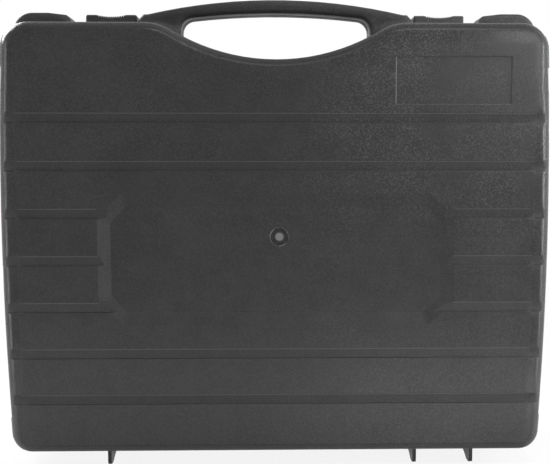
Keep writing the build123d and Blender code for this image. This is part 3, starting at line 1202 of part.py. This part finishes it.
# Writes one file for each piece
CASE_PIECES = {
    "front_shell": front_shell(),
    "rear_shell": rear_shell(),
    "hinge_pins": hinge_pins(),
    "latch_right": latch(1),
    "latch_left": latch(-1),
}
STOVE_PIECES = {
    "stove_body": stove_body(),
    "bottom_plate": bottom_plate(),
    "stove_feet": stove_feet(),
    "bottom_screws": bottom_screws(),
    "drip_pan": drip_pan(),
    "pan_support": pan_support(),
    "burner_cup": burner_cup(),
    "burner_cap": burner_cap(),
    "burner_stand": burner_stand(),
    "mixing_tube": mixing_tube(),
    "gas_jet": gas_jet(),
    "electrode": electrode(),
    "electrode_wire": electrode_wire(),
    "piezo_igniter": piezo_igniter(),
    "spark_lead": spark_lead(),
    "regulator": regulator(),
    "inlet_seal": inlet_seal(),
    "regulator_bracket": regulator_bracket(),
    "partition": partition(),
    "cartridge_cradles": cartridge_cradles(),
    "cartridge_cover": cartridge_cover(),
    "cover_pin": cover_pin(),
    "front_fascia": front_fascia(),
    "valve_spindle": valve_spindle(),
    "control_knob": control_knob(),
    "lock_lever": lock_lever(),
    "cartridge_pusher": cartridge_pusher(),
    "pusher_spring": pusher_spring(),
}
os.makedirs("parts", exist_ok=True)
for name, piece in CASE_PIECES.items():
    export_step(piece, f"parts/{name}.step")
for name, piece in STOVE_PIECES.items():
    export_step(STOVE_PLANE * piece, f"parts/{name}.step")
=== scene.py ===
import json
import math

import bpy
from mathutils import Matrix, Vector

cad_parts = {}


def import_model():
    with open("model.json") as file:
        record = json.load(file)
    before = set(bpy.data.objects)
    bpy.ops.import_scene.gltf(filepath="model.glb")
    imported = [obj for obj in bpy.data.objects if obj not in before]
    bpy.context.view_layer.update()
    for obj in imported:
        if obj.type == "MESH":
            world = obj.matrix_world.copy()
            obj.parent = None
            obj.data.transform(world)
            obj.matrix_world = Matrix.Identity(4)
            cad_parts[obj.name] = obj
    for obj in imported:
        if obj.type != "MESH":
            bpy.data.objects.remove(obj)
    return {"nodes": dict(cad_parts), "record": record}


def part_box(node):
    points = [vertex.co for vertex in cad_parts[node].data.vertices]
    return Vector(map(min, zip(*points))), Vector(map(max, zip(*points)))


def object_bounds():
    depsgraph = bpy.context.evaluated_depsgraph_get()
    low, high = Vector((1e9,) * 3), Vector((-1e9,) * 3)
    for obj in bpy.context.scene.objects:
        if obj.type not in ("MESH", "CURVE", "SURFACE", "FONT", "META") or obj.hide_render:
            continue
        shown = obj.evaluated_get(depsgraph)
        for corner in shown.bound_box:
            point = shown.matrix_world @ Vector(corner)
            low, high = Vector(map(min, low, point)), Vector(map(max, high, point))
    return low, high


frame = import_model()
cad_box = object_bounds()
NODES = frame["nodes"]
SLOT_OF = {part["node"]: part["material_slot"] for part in frame["record"]["subparts"]}
PIVOT_OF = {joint["name"]: joint.get("pos_m") for joint in frame["record"]["behaviour"]["joints"]}

# Camera, fitted to the photograph's 550 x 464 frame; lengths in metres, angles in degrees
CAMERA_PLACE = (-0.006, -0.754, 0.223)
CAMERA_PITCH = 6.61
CAMERA_YAW = -1.37
CAMERA_FOCAL_SHARE = 1.8164          # focal length as a share of the sensor's width
CAMERA_SHIFT = (-0.0305, 0.0724)     # shares of the sensor's width
CAMERA_NEAR = 0.01
SENSOR = 36.0                        # millimetres

# Case face, in metres; a sunk value is a depth below the face
FACE_DEPTH = cad_box[1][1]           # from the parting plane, y = 0, out to the face
GATE_PLACE = (0.002, 0.1665)         # x and z
GATE_DISC = (0.00248, 0.0031)        # radius of the pale cut, faded out
GATE_HIGHLIGHT_RING = (0.0058, 0.0062, 0.0066, 0.007)       # radius of the painted highlight ring around it, faded in and out
PARTING_LINE = (0.00018, 0.0003)     # half the width of the dark line between the shells, faded out
EDGE_ROUND = 0.001                   # radius to which the moulded edges are worn, which also sets the width of their painted highlight
EDGE_WEAR_AND_HIGHLIGHT_SHARE = 0.5
RIM_ROUND = 0.009                    # softer round along the rim of the face
RIM_SIDE = (0.177, 0.184)            # distance from the middle over which the rim's round sets in
RIM_TOP = (0.296, 0.305)             # height over which it sets in
RIM_POLISH = 0.5                     # share of the roughness left where hands have rubbed the rim
POLISH_SUNK = (0.004, 0.007)         # where the rubbed rim ends
GROOVE_SUNK = (0.0002, 0.0006, 0.001, 0.0013)    # floors of the grooves, made a little lighter, faded in and out
GROOVE_FLOOR_LIGHTER_SHARE = 0.05
GROOVE_HIGHLIGHT_SUNK = (0.00022, 0.00025, 0.00029, 0.00032)       # painted highlight line under a groove's upper edge
GROOVE_HIGHLIGHT_SHARE = 0.36
RELIEF_SUNK = 0.0018                 # depth of the relief that the shading deepens
RELIEF_GAIN = 1.7
PANEL_HALF_WIDTH = 0.1255
PANEL_RANGE = (0.103, 0.198)         # heights of its lower and upper edges
GLINT_HEIGHTS = (0.13, 0.26)         # over which the pale specks, painted as glints, grow more, upwards
GLINT_SIDES = (-0.06, 0.12)          # over which these painted glints grow more, to the right
GLINT_LEAST = 0.2                    # share of them at the low ends

# Dial of the stove, in metres and degrees
KNOB_PLACE = PIVOT_OF["knob_turn"]
KNOB_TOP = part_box("control_knob")[1][2]
TICK_REACH = (0.0185, 0.0215)
TICK_HALF_WIDTH = 0.0004
TICK_BLUR = 0.0002
TICK_STEP = 10.0
TICK_COUNT = 4                       # on each side of the middle one
TICK_ENDS = (TICK_COUNT + 0.4, TICK_COUNT + 0.6)             # soft ends of the scale, in steps
POINTER_HALF_WIDTH = 0.0007
POINTER_START = 0.003
POINTER_DEPTH = 0.002

# Settings of the finishes' nodes
NOISE_RANGE = (0.3, 0.7)             # holds most of a noise's values
BEVEL_SAMPLES = 8
EDGE_COSINES = (0.75, 0.99)          # from a sharp edge to a flat
YARN_SCALE = 110.0                   # of the woven sleeve

# Surroundings: light that falls on the object from all round, where 1 is white, and the floor
SKY_LIGHT = 0.16
FLOOR_SIZE = 12.0                    # metres
FLOOR_LEVEL = 0.93
FLOOR_ROUGHNESS = 0.9
FLOOR_CLEAR_SHARE = 0.88             # how far the white background is seen through the floor
FLOOR_FADE = (0.3, 1.2)              # distance over which the floor runs out to the background

# Lamps: place, aim, width and height in metres, power in watts and angle of the beam in degrees
MIDDLE = (0.0, 0.0, 0.16)
FACE_CORNER = (0.17, -FACE_DEPTH, 0.27)
FACE_FOOT = (0.05, -FACE_DEPTH, 0.06)
FACE_FOOT_RIGHT = (0.14, -FACE_DEPTH, 0.06)
OPEN_BEAM = 180.0
BOUNCE_BEAM = 80.0
LAMPS = {
    "corner": ((0.25, -0.22, 0.34), FACE_CORNER, (0.12, 0.12), 0.36, OPEN_BEAM),
    "graze": ((1.1, -0.18, 0.32), MIDDLE, (0.2, 0.5), 10.0, OPEN_BEAM),
    "top": ((0.15, -0.45, 1.4), MIDDLE, (0.6, 0.3), 6.2, OPEN_BEAM),
    "bounce": ((0.05, -0.22, 0.012), FACE_FOOT, (0.75, 0.06), 0.085, BOUNCE_BEAM),
    "bounce_right": ((0.17, -0.19, 0.012), FACE_FOOT_RIGHT, (0.24, 0.05), 0.028, BOUNCE_BEAM),
    "left_strip": ((-0.75, -0.105, 0.2), MIDDLE, (0.1, 0.6), 4.5, OPEN_BEAM),
    "right_strip": ((0.75, -0.095, 0.2), MIDDLE, (0.1, 0.6), 3.0, OPEN_BEAM),
    "rear": ((-0.7, 0.6, 0.75), MIDDLE, (0.5, 0.5), 12.0, OPEN_BEAM),
}


# Node helpers
class Tree:
    """Short calls for the nodes of one material."""

    def __init__(self, name):
        self.material = bpy.data.materials.new(name)
        self.material.use_nodes = True
        self.nodes = self.material.node_tree.nodes
        self.links = self.material.node_tree.links
        self.shader = self.nodes["Principled BSDF"]
        self.output = self.nodes["Material Output"]
        self.coords = self.nodes.new("ShaderNodeTexCoord").outputs["Object"]

    def add(self, kind, inputs=None, **settings):
        """New node with its settings, its inputs set to values or linked to sockets."""
        node = self.nodes.new(kind)
        for key, value in settings.items():
            setattr(node, key, value)
        for key, value in (inputs or {}).items():
            self.put(node.inputs[key], value)
        return node

    def put(self, socket, value):
        """Sets an input to a value, or links it to an output."""
        if isinstance(value, bpy.types.NodeSocket):
            self.links.new(value, socket)
        else:
            socket.default_value = value

    def compute(self, operation, *values):
        """Result of a Math node."""
        return self.add("ShaderNodeMath", dict(enumerate(values)), operation=operation).outputs[0]

    def times(self, first, *others):
        """Product of two or more values."""
        for other in others:
            first = self.compute("MULTIPLY", first, other)
        return first

    def rest(self, share):
        """What a share leaves of 1."""
        return self.compute("SUBTRACT", 1.0, share)

    def off(self, value, place):
        """Distance of a value from a place, whichever side it lies on."""
        return self.compute("ABSOLUTE", self.compute("SUBTRACT", value, place))

    def reach(self, across, along):
        """Length of a way across and along."""
        squares = self.compute("ADD", self.times(across, across), self.times(along, along))
        return self.compute("SQRT", squares)

    def axes(self):
        """X, Y and Z of the object's own coordinates."""
        return self.add("ShaderNodeSeparateXYZ", {0: self.coords}).outputs

    def span(self, value, low, high, to_low=0.0, to_high=1.0, smooth=True):
        """Value mapped from one range to another, clamped."""
        kind = "SMOOTHSTEP" if smooth else "LINEAR"
        inputs = {"Value": value, "From Min": low, "From Max": high, "To Min": to_low, "To Max": to_high}
        return self.add("ShaderNodeMapRange", inputs, interpolation_type=kind).outputs["Result"]

    def fall(self, value, low, high):
        """1 below a range and 0 above it."""
        return self.span(value, low, high, 1.0, 0.0)

    def band(self, value, start, full, fade, end):
        """1 inside a band and 0 outside it, with soft edges."""
        return self.times(self.span(value, start, full), self.fall(value, fade, end))

    def stretched(self, scale):
        """Object coordinates with each axis scaled."""
        return self.add("ShaderNodeMapping", {"Vector": self.coords, "Scale": scale}).outputs[0]

    def noise(self, scale, detail=2.0, rough=0.5, stretch=None):
        """Cloudy values, finer as the scale grows."""
        vector = self.stretched(stretch) if stretch else self.coords
        inputs = {"Vector": vector, "Scale": scale, "Detail": detail, "Roughness": rough}
        return self.add("ShaderNodeTexNoise", inputs).outputs[0]

    def cells(self, scale, output="Distance", feature="F1"):
        """Distance or colour of irregular cells, smaller as the scale grows."""
        inputs = {"Vector": self.coords, "Scale": scale}
        return self.add("ShaderNodeTexVoronoi", inputs, feature=feature).outputs[output]

    def yarns(self, way):
        """Round yarns side by side, square to a direction."""
        inputs = {"Vector": self.stretched(way), "Scale": YARN_SCALE}
        return self.add("ShaderNodeTexWave", inputs, bands_direction="DIAGONAL").outputs["Fac"]

    def mix(self, share, first, second):
        """Colour between two colours."""
        node = self.add("ShaderNodeMix", data_type="RGBA")
        self.put(node.inputs["Factor"], share)
        self.put(node.inputs[6], first)
        self.put(node.inputs[7], second)
        return node.outputs[2]

    def bump(self, height, depth, strength=1.0, under=None):
        """Normal with a height added, its depth in metres, over another normal."""
        inputs = {"Height": height, "Distance": depth, "Strength": strength}
        if under:
            inputs["Normal"] = under
        return self.add("ShaderNodeBump", inputs).outputs[0]

    def rounded(self, radius):
        """Normal with the edges rounded off by a radius in metres."""
        return self.add("ShaderNodeBevel", {"Radius": radius}, samples=BEVEL_SAMPLES).outputs[0]

    def edge(self, rounded):
        """Share of edge at a point: 0 on a flat, up to 1 where the rounded normal turns away."""
        normal = self.add("ShaderNodeNewGeometry").outputs["Normal"]
        cosine = self.add("ShaderNodeVectorMath", {0: rounded, 1: normal}, operation="DOT_PRODUCT")
        return self.fall(cosine.outputs["Value"], *EDGE_COSINES)

    def finish(self, **inputs):
        """Sets the shader's inputs and returns the material."""
        for key, value in inputs.items():
            self.put(self.shader.inputs[key.replace("_", " ")], value)
        return self.material


def grey(level):
    """Neutral colour of that sRGB level, 0 to 1, as linear values."""
    linear = level / 12.92 if level <= 0.04045 else ((level + 0.055) / 1.055) ** 2.4
    return (linear, linear, linear, 1.0)


# Materials
def case_plastic():
    """Dark grey moulded plastic: eroded grain, gate mark, parting line; painted glints in its specks,
    painted highlights on its worn edges, groove lips and gate ring.
    """
    tree = Tree("case_plastic")
    x, y, z = tree.axes()
    side = tree.compute("ABSOLUTE", x)
    depth = tree.compute("ABSOLUTE", y)
    sunk = tree.compute("SUBTRACT", FACE_DEPTH, depth)
    cloud = tree.noise(11.0, detail=3.0, rough=0.6)
    mottle = tree.noise(60.0, detail=3.0, rough=0.6)
    grain = tree.noise(1100.0, detail=1.0)
    tone = tree.mix(tree.span(mottle, *NOISE_RANGE), grey(0.175), grey(0.2))
    tone = tree.mix(tree.span(cloud, 0.5, 0.75, 0.0, 0.5), tone, grey(0.225))
    tone = tree.mix(tree.span(grain, *NOISE_RANGE, 0.0, 0.6, smooth=False), tone, grey(0.255))
    # pale specks of the grain, more of them toward the upper right: painted glints
    upper = tree.span(z, *GLINT_HEIGHTS, GLINT_LEAST, 1.0)
    right = tree.span(x, *GLINT_SIDES, GLINT_LEAST, 1.0)
    glint_zone = tree.times(tree.span(cloud, 0.35, 0.6), upper, right)
    specks = tree.times(tree.span(grain, 0.48, 0.7), glint_zone)
    tone = tree.mix(tree.times(specks, 0.42), tone, grey(0.4))
    panel = tree.times(
        tree.compute("LESS_THAN", side, PANEL_HALF_WIDTH),
        tree.compute("GREATER_THAN", z, PANEL_RANGE[0]),
        tree.compute("LESS_THAN", z, PANEL_RANGE[1]),
    )
    groove = tree.times(tree.band(sunk, *GROOVE_SUNK), tree.rest(panel))
    # groove floors a little lighter
    tone = tree.mix(tree.times(groove, GROOVE_FLOOR_LIGHTER_SHARE), tone, grey(0.3))
    rim = tree.compute("MAXIMUM", tree.span(side, *RIM_SIDE), tree.span(z, *RIM_TOP))
    face = tree.rest(tree.compute("MAXIMUM", rim, panel))
    # pale line just under each groove's upper edge: a painted highlight
    groove_highlight = tree.times(tree.band(sunk, *GROOVE_HIGHLIGHT_SUNK), face)
    tone = tree.mix(tree.times(groove_highlight, GROOVE_HIGHLIGHT_SHARE), tone, grey(0.39))
    across = tree.compute("SUBTRACT", x, GATE_PLACE[0])
    along = tree.compute("SUBTRACT", z, GATE_PLACE[1])
    reach = tree.reach(across, along)
    tone = tree.mix(tree.times(tree.fall(reach, *GATE_DISC), 0.8), tone, grey(0.49))
    # pale broken ring around the gate: a painted highlight
    broken = tree.span(tree.noise(260.0, detail=1.0), 0.4, 0.6)
    tone = tree.mix(tree.times(tree.band(reach, *GATE_HIGHLIGHT_RING), broken, 0.7), tone, grey(0.5))
    tone = tree.mix(tree.times(tree.fall(depth, *PARTING_LINE), 0.7), tone, grey(0.075))
    rounded = tree.rounded(tree.span(rim, 0.0, 1.0, EDGE_ROUND, RIM_ROUND, smooth=False))
    # paler along every edge: wear, and a painted highlight
    tone = tree.mix(tree.times(tree.edge(rounded), EDGE_WEAR_AND_HIGHLIGHT_SHARE), tone, grey(0.39))
    rubbed = tree.times(rim, tree.fall(sunk, *POLISH_SUNK))
    polish = tree.span(rubbed, 0.0, 1.0, 1.0, RIM_POLISH, smooth=False)
    rough = tree.times(tree.span(mottle, *NOISE_RANGE, 0.38, 0.48, smooth=False), polish)
    relief = tree.span(sunk, 0.0, RELIEF_SUNK, RELIEF_GAIN * RELIEF_SUNK, 0.0, smooth=False)
    normal = tree.bump(relief, depth=1.0, under=rounded)
    normal = tree.bump(tree.noise(22.0), depth=0.0006, strength=0.3, under=normal)
    normal = tree.bump(grain, depth=0.00006, under=normal)
    return tree.finish(Base_Color=tone, Roughness=rough, Normal=normal, Specular_IOR_Level=0.14)


def latch_plastic():
    """Plain moulded plastic, a shade lighter than the case, rubbed pale along its ribs."""
    tree = Tree("latch_plastic")
    mottle = tree.noise(90.0, detail=3.0)
    grain = tree.noise(1500.0)
    tone = tree.mix(tree.span(mottle, *NOISE_RANGE), grey(0.2), grey(0.225))
    tone = tree.mix(tree.span(grain, 0.35, 0.7, 0.0, 0.35), tone, grey(0.295))
    rounded = tree.rounded(radius=0.0004)
    tone = tree.mix(tree.times(tree.edge(rounded), 0.45), tone, grey(0.46))
    rough = tree.span(mottle, *NOISE_RANGE, 0.36, 0.46, smooth=False)
    normal = tree.bump(grain, depth=0.00004, strength=0.8, under=rounded)
    return tree.finish(Base_Color=tone, Roughness=rough, Normal=normal, Specular_IOR_Level=0.25)


def bright_steel():
    """Drawn steel: fine lines along its length and a few dull spots."""
    tree = Tree("bright_steel")
    lines = tree.noise(900.0, stretch=(1.0, 1.0, 0.05))
    spots = tree.noise(160.0, detail=4.0, rough=0.7)
    tone = tree.mix(tree.span(lines, 0.35, 0.65), grey(0.62), grey(0.76))
    tone = tree.mix(tree.span(spots, 0.62, 0.75, 0.0, 0.6), tone, grey(0.45))
    rough = tree.span(spots, 0.4, 0.75, 0.2, 0.42)
    normal = tree.bump(lines, depth=0.00002, strength=0.5, under=tree.rounded(radius=0.0002))
    return tree.finish(Base_Color=tone, Roughness=rough, Metallic=1.0, Normal=normal)


def body_paint():
    """Black satin paint on pressed sheet: orange peel, dull smudges and edges rubbed to the steel."""
    tree = Tree("body_paint")
    smudge = tree.noise(14.0, detail=4.0, rough=0.6)
    dust = tree.noise(2000.0, detail=1.0)
    tone = tree.mix(tree.span(smudge, 0.35, 0.7), grey(0.1), grey(0.135))
    tone = tree.mix(tree.span(dust, 0.58, 0.8, 0.0, 0.35), tone, grey(0.26))
    rounded = tree.rounded(radius=0.0006)
    rubbed = tree.times(tree.edge(rounded), tree.span(tree.noise(110.0, detail=3.0), 0.42, 0.66))
    tone = tree.mix(tree.times(rubbed, 0.7), tone, grey(0.48))
    rough = tree.span(smudge, *NOISE_RANGE, 0.26, 0.4)
    normal = tree.bump(tree.noise(420.0, detail=1.0), depth=0.0001, strength=0.5, under=rounded)
    return tree.finish(Base_Color=tone, Roughness=rough, Normal=normal)


def zinc_sheet():
    """Galvanised sheet: crystals of different brightness and fine rolling lines."""
    tree = Tree("zinc_sheet")
    crystal = tree.cells(170.0, "Color")
    border = tree.cells(170.0, "Distance", "DISTANCE_TO_EDGE")
    lines = tree.noise(700.0, stretch=(1.0, 1.0, 0.06))
    tone = tree.mix(tree.span(crystal, 0.1, 0.9), grey(0.56), grey(0.74))
    tone = tree.mix(tree.span(border, 0.0, 0.06, 0.3, 0.0), tone, grey(0.45))
    rough = tree.span(crystal, 0.1, 0.9, 0.3, 0.46)
    normal = tree.bump(lines, depth=0.00003, strength=0.5, under=tree.rounded(radius=0.0003))
    return tree.finish(Base_Color=tone, Roughness=rough, Metallic=1.0, Normal=normal)


def black_rubber():
    """Matt moulded rubber with a grey bloom of dust."""
    tree = Tree("black_rubber")
    bloom = tree.noise(70.0, detail=4.0, rough=0.65)
    grain = tree.noise(1300.0, detail=3.0, rough=0.6)
    tone = tree.mix(tree.span(bloom, 0.45, 0.75), grey(0.085), grey(0.17))
    tone = tree.mix(tree.span(grain, 0.5, 0.75, 0.0, 0.3), tone, grey(0.22))
    rough = tree.span(bloom, *NOISE_RANGE, 0.7, 0.86)
    normal = tree.bump(grain, depth=0.00008, strength=0.7)
    return tree.finish(Base_Color=tone, Roughness=rough, Normal=normal)


def pan_enamel():
    """Black stove enamel with pale flecks fired into it, wavy as a glaze is."""
    tree = Tree("pan_enamel")
    small = tree.fall(tree.cells(620.0), 0.12, 0.2)
    kept = tree.span(tree.noise(240.0, detail=1.0), 0.52, 0.6)
    wash = tree.noise(30.0, detail=3.0)
    tone = tree.mix(tree.span(wash, *NOISE_RANGE), grey(0.06), grey(0.09))
    tone = tree.mix(tree.times(small, kept, 0.8), tone, grey(0.55))
    rough = tree.span(wash, *NOISE_RANGE, 0.14, 0.26)
    normal = tree.bump(tree.noise(130.0), depth=0.0001, strength=0.5, under=tree.rounded(radius=0.0006))
    return tree.finish(Base_Color=tone, Roughness=rough, Normal=normal)


def support_enamel():
    """Thick dark enamel on pressed bars, burnt matt in patches and chipped along its edges."""
    tree = Tree("support_enamel")
    burnt = tree.noise(45.0, detail=4.0, rough=0.65)
    tone = tree.mix(tree.span(burnt, 0.4, 0.7), grey(0.07), grey(0.12))
    rounded = tree.rounded(radius=0.0005)
    chips = tree.times(tree.edge(rounded), tree.span(tree.noise(210.0, detail=3.0), 0.54, 0.62))
    tone = tree.mix(tree.times(chips, 0.8), tone, (0.09, 0.06, 0.045, 1.0))
    rough = tree.span(burnt, 0.35, 0.7, 0.2, 0.5)
    normal = tree.bump(tree.noise(380.0), depth=0.0001, strength=0.6, under=rounded)
    return tree.finish(Base_Color=tone, Roughness=rough, Normal=normal)


def cast_alloy():
    """Die-cast alloy: dull skin, small pits and darker flow marks."""
    tree = Tree("cast_alloy")
    flow = tree.noise(55.0, detail=4.0, rough=0.6, stretch=(1.0, 0.4, 1.0))
    pits = tree.fall(tree.cells(520.0), 0.1, 0.3)
    tone = tree.mix(tree.span(flow, *NOISE_RANGE), grey(0.58), grey(0.74))
    tone = tree.mix(tree.times(pits, 0.5), tone, grey(0.38))
    rough = tree.span(flow, *NOISE_RANGE, 0.38, 0.58)
    height = tree.compute("SUBTRACT", tree.noise(650.0), tree.times(pits, 0.6))
    normal = tree.bump(height, depth=0.0001, strength=0.6, under=tree.rounded(radius=0.0004))
    return tree.finish(Base_Color=tone, Roughness=rough, Metallic=1.0, Normal=normal)


def jet_brass():
    """Turned brass, browner where it has tarnished."""
    tree = Tree("jet_brass")
    tarnish = tree.noise(190.0, detail=4.0, rough=0.65)
    tool = tree.noise(1600.0, detail=1.0, stretch=(1.0, 0.05, 0.05))
    tone = tree.mix(tree.span(tarnish, 0.4, 0.7), (0.62, 0.42, 0.13, 1.0), (0.36, 0.2, 0.06, 1.0))
    rough = tree.span(tarnish, 0.35, 0.7, 0.18, 0.4)
    normal = tree.bump(tool, depth=0.00003, strength=0.6, under=tree.rounded(radius=0.0002))
    return tree.finish(Base_Color=tone, Roughness=rough, Metallic=1.0, Normal=normal)


def white_ceramic():
    """Glazed white porcelain with faint warm shading and specks."""
    tree = Tree("white_ceramic")
    warm = tree.noise(260.0, detail=3.0)
    specks = tree.fall(tree.cells(900.0), 0.06, 0.12)
    tone = tree.mix(tree.span(warm, 0.35, 0.7), grey(0.88), (0.68, 0.64, 0.56, 1.0))
    tone = tree.mix(tree.times(specks, 0.4), tone, grey(0.5))
    rough = tree.span(warm, *NOISE_RANGE, 0.1, 0.22)
    normal = tree.bump(warm, depth=0.00008, strength=0.4)
    return tree.finish(Base_Color=tone, Roughness=rough, Normal=normal)


def piezo_plastic():
    """Glossy black moulded plastic with fine scuffs."""
    tree = Tree("piezo_plastic")
    scuffs = tree.noise(420.0, detail=3.0, rough=0.6, stretch=(1.0, 0.15, 1.0))
    tone = tree.mix(tree.span(scuffs, 0.5, 0.75), grey(0.07), grey(0.16))
    rounded = tree.rounded(radius=0.0003)
    tone = tree.mix(tree.times(tree.edge(rounded), 0.4), tone, grey(0.3))
    rough = tree.span(scuffs, 0.4, 0.7, 0.22, 0.42)
    normal = tree.bump(scuffs, depth=0.00003, strength=0.5, under=rounded)
    return tree.finish(Base_Color=tone, Roughness=rough, Normal=normal)


def lead_sleeve():
    """Woven glass-fibre sleeve: crossing yarns, slightly yellowed."""
    tree = Tree("lead_sleeve")
    weave = tree.compute("MAXIMUM", tree.yarns((1.0, 1.0, 1.0)), tree.yarns((1.0, -1.0, 1.0)))
    age = tree.noise(120.0, detail=3.0)
    tone = tree.mix(tree.span(age, 0.35, 0.7), grey(0.82), (0.56, 0.5, 0.36, 1.0))
    tone = tree.mix(tree.span(weave, 0.3, 0.8, 0.5, 0.0), tone, grey(0.42))
    rough = tree.span(weave, 0.0, 1.0, 0.85, 0.6)
    normal = tree.bump(weave, depth=0.0002, strength=0.7)
    return tree.finish(Base_Color=tone, Roughness=rough, Normal=normal)


def fascia_plastic():
    """Spark-textured panel with a plain scale of ticks beside the knob."""
    tree = Tree("fascia_plastic")
    x, y = tree.axes()[:2]
    across = tree.compute("SUBTRACT", x, KNOB_PLACE[0])
    along = tree.compute("SUBTRACT", y, KNOB_PLACE[1])
    reach = tree.reach(across, along)
    inner, outer = TICK_REACH
    ring = tree.band(reach, inner - TICK_BLUR, inner, outer, outer + TICK_BLUR)
    step = math.radians(TICK_STEP)
    angle = tree.compute("DIVIDE", tree.compute("ARCTAN2", along, across), step)
    off_tick = tree.off(angle, tree.compute("ROUND", angle))
    arc = tree.times(off_tick, reach, step)
    tick = tree.fall(arc, TICK_HALF_WIDTH, TICK_HALF_WIDTH + TICK_BLUR)
    inside = tree.fall(tree.compute("ABSOLUTE", angle), *TICK_ENDS)
    grain = tree.noise(1100.0, detail=3.0, rough=0.6)
    tone = tree.mix(tree.span(grain, 0.35, 0.7), grey(0.12), grey(0.19))
    rounded = tree.rounded(radius=0.0005)
    tone = tree.mix(tree.times(tree.edge(rounded), 0.3), tone, grey(0.32))
    tone = tree.mix(tree.times(ring, tick, inside, 0.9), tone, grey(0.78))
    rough = tree.span(grain, *NOISE_RANGE, 0.45, 0.6)
    normal = tree.bump(grain, depth=0.00007, strength=0.8, under=rounded)
    return tree.finish(Base_Color=tone, Roughness=rough, Normal=normal)


def knob_plastic():
    """Satin black knob with a pale pointer line along one end of its finger bar."""
    tree = Tree("knob_plastic")
    x, y, z = tree.axes()
    line = tree.fall(tree.off(x, KNOB_PLACE[0]), POINTER_HALF_WIDTH, POINTER_HALF_WIDTH + TICK_BLUR)
    start = KNOB_PLACE[1] - POINTER_START
    ahead = tree.fall(y, start - TICK_BLUR, start)
    high = tree.span(z, KNOB_TOP - POINTER_DEPTH, KNOB_TOP)
    grip = tree.noise(300.0, detail=3.0)
    tone = tree.mix(tree.span(grip, 0.35, 0.7), grey(0.08), grey(0.12))
    rounded = tree.rounded(radius=0.0005)
    tone = tree.mix(tree.times(tree.edge(rounded), 0.3), tone, grey(0.3))
    tone = tree.mix(tree.times(line, ahead, high, 0.9), tone, grey(0.8))
    rough = tree.span(grip, *NOISE_RANGE, 0.26, 0.4)
    normal = tree.bump(tree.noise(1300.0), depth=0.00004, strength=0.6, under=rounded)
    return tree.finish(Base_Color=tone, Roughness=rough, Normal=normal)


FINISHES = (
    case_plastic,
    latch_plastic,
    bright_steel,
    body_paint,
    zinc_sheet,
    black_rubber,
    pan_enamel,
    support_enamel,
    cast_alloy,
    jet_brass,
    white_ceramic,
    piezo_plastic,
    lead_sleeve,
    fascia_plastic,
    knob_plastic,
)
MATERIALS = {finish.__name__: finish() for finish in FINISHES}
for name, node in NODES.items():
    node.data.materials.clear()
    node.data.materials.append(MATERIALS[SLOT_OF[name]])


# Floor, light and camera
def seen_directly(nodes, links):
    """1 for rays that show the background itself: from the camera, off gloss or through glass."""
    rays = nodes.new("ShaderNodeLightPath")
    total = rays.outputs["Is Camera Ray"]
    for kind in ("Is Glossy Ray", "Is Transmission Ray"):
        add = nodes.new("ShaderNodeMath")
        add.operation = "ADD"
        add.use_clamp = True
        links.new(total, add.inputs[0])
        links.new(rays.outputs[kind], add.inputs[1])
        total = add.outputs[0]
    return total


def floor():
    """Pale floor that keeps the object's shadow, runs out to white and lets what lies below it show."""
    bpy.ops.mesh.primitive_plane_add(size=FLOOR_SIZE, location=(0, 0, 0))
    plane = bpy.context.object
    plane.name = "floor"
    tree = Tree("floor")
    tree.finish(Base_Color=grey(FLOOR_LEVEL), Roughness=FLOOR_ROUGHNESS)
    distance = tree.add("ShaderNodeVectorMath", {0: tree.coords}, operation="LENGTH").outputs["Value"]
    clear = tree.span(distance, *FLOOR_FADE, FLOOR_CLEAR_SHARE, 1.0)
    shadow_ray = tree.add("ShaderNodeLightPath").outputs["Is Shadow Ray"]
    share = tree.compute("MAXIMUM", tree.times(seen_directly(tree.nodes, tree.links), clear), shadow_ray)
    through = tree.add("ShaderNodeBsdfTransparent")
    blend = tree.add("ShaderNodeMixShader", {0: share, 1: tree.shader.outputs[0], 2: through.outputs[0]})
    tree.put(tree.output.inputs["Surface"], blend.outputs[0])
    plane.data.materials.append(tree.material)


def world():
    """Even pale light all round, seen as white."""
    scene_world = bpy.data.worlds.new("studio")
    bpy.context.scene.world = scene_world
    scene_world.use_nodes = True
    nodes, links = scene_world.node_tree.nodes, scene_world.node_tree.links
    nodes.clear()
    out = nodes.new("ShaderNodeOutputWorld")
    back = nodes.new("ShaderNodeBackground")
    strength = nodes.new("ShaderNodeMapRange")
    strength.inputs["To Min"].default_value = SKY_LIGHT
    strength.inputs["To Max"].default_value = 1.0
    links.new(seen_directly(nodes, links), strength.inputs["Value"])
    links.new(strength.outputs["Result"], back.inputs["Strength"])
    back.inputs["Color"].default_value = (1, 1, 1, 1)
    links.new(back.outputs[0], out.inputs["Surface"])


def lamp(name, place, aim, size, power, beam):
    """Soft rectangular lamp that points at a place and that the camera doesn't see."""
    data = bpy.data.lights.new(name, "AREA")
    data.shape = "RECTANGLE"
    data.size, data.size_y = size
    data.energy = power
    data.spread = math.radians(beam)
    lamp_object = bpy.data.objects.new(name, data)
    bpy.context.scene.collection.objects.link(lamp_object)
    lamp_object.location = place
    lamp_object.visible_camera = False
    direction = Vector(aim) - Vector(place)
    lamp_object.rotation_euler = direction.to_track_quat("-Z", "Y").to_euler()


def camera():
    """Camera at the photograph's viewing angle."""
    data = bpy.data.cameras.new("camera")
    data.sensor_fit = "HORIZONTAL"
    data.sensor_width = SENSOR
    data.lens = SENSOR * CAMERA_FOCAL_SHARE
    data.shift_x, data.shift_y = CAMERA_SHIFT
    data.clip_start = CAMERA_NEAR
    camera_object = bpy.data.objects.new("camera", data)
    bpy.context.scene.collection.objects.link(camera_object)
    turn = Matrix.Rotation(math.radians(CAMERA_YAW), 4, "Z")
    turn @= Matrix.Rotation(math.radians(90 - CAMERA_PITCH), 4, "X")
    camera_object.matrix_world = Matrix.Translation(CAMERA_PLACE) @ turn
    bpy.context.scene.camera = camera_object


floor()
world()
for name, values in LAMPS.items():
    lamp(name, *values)
camera()
bpy.context.scene.view_settings.view_transform = "Standard"
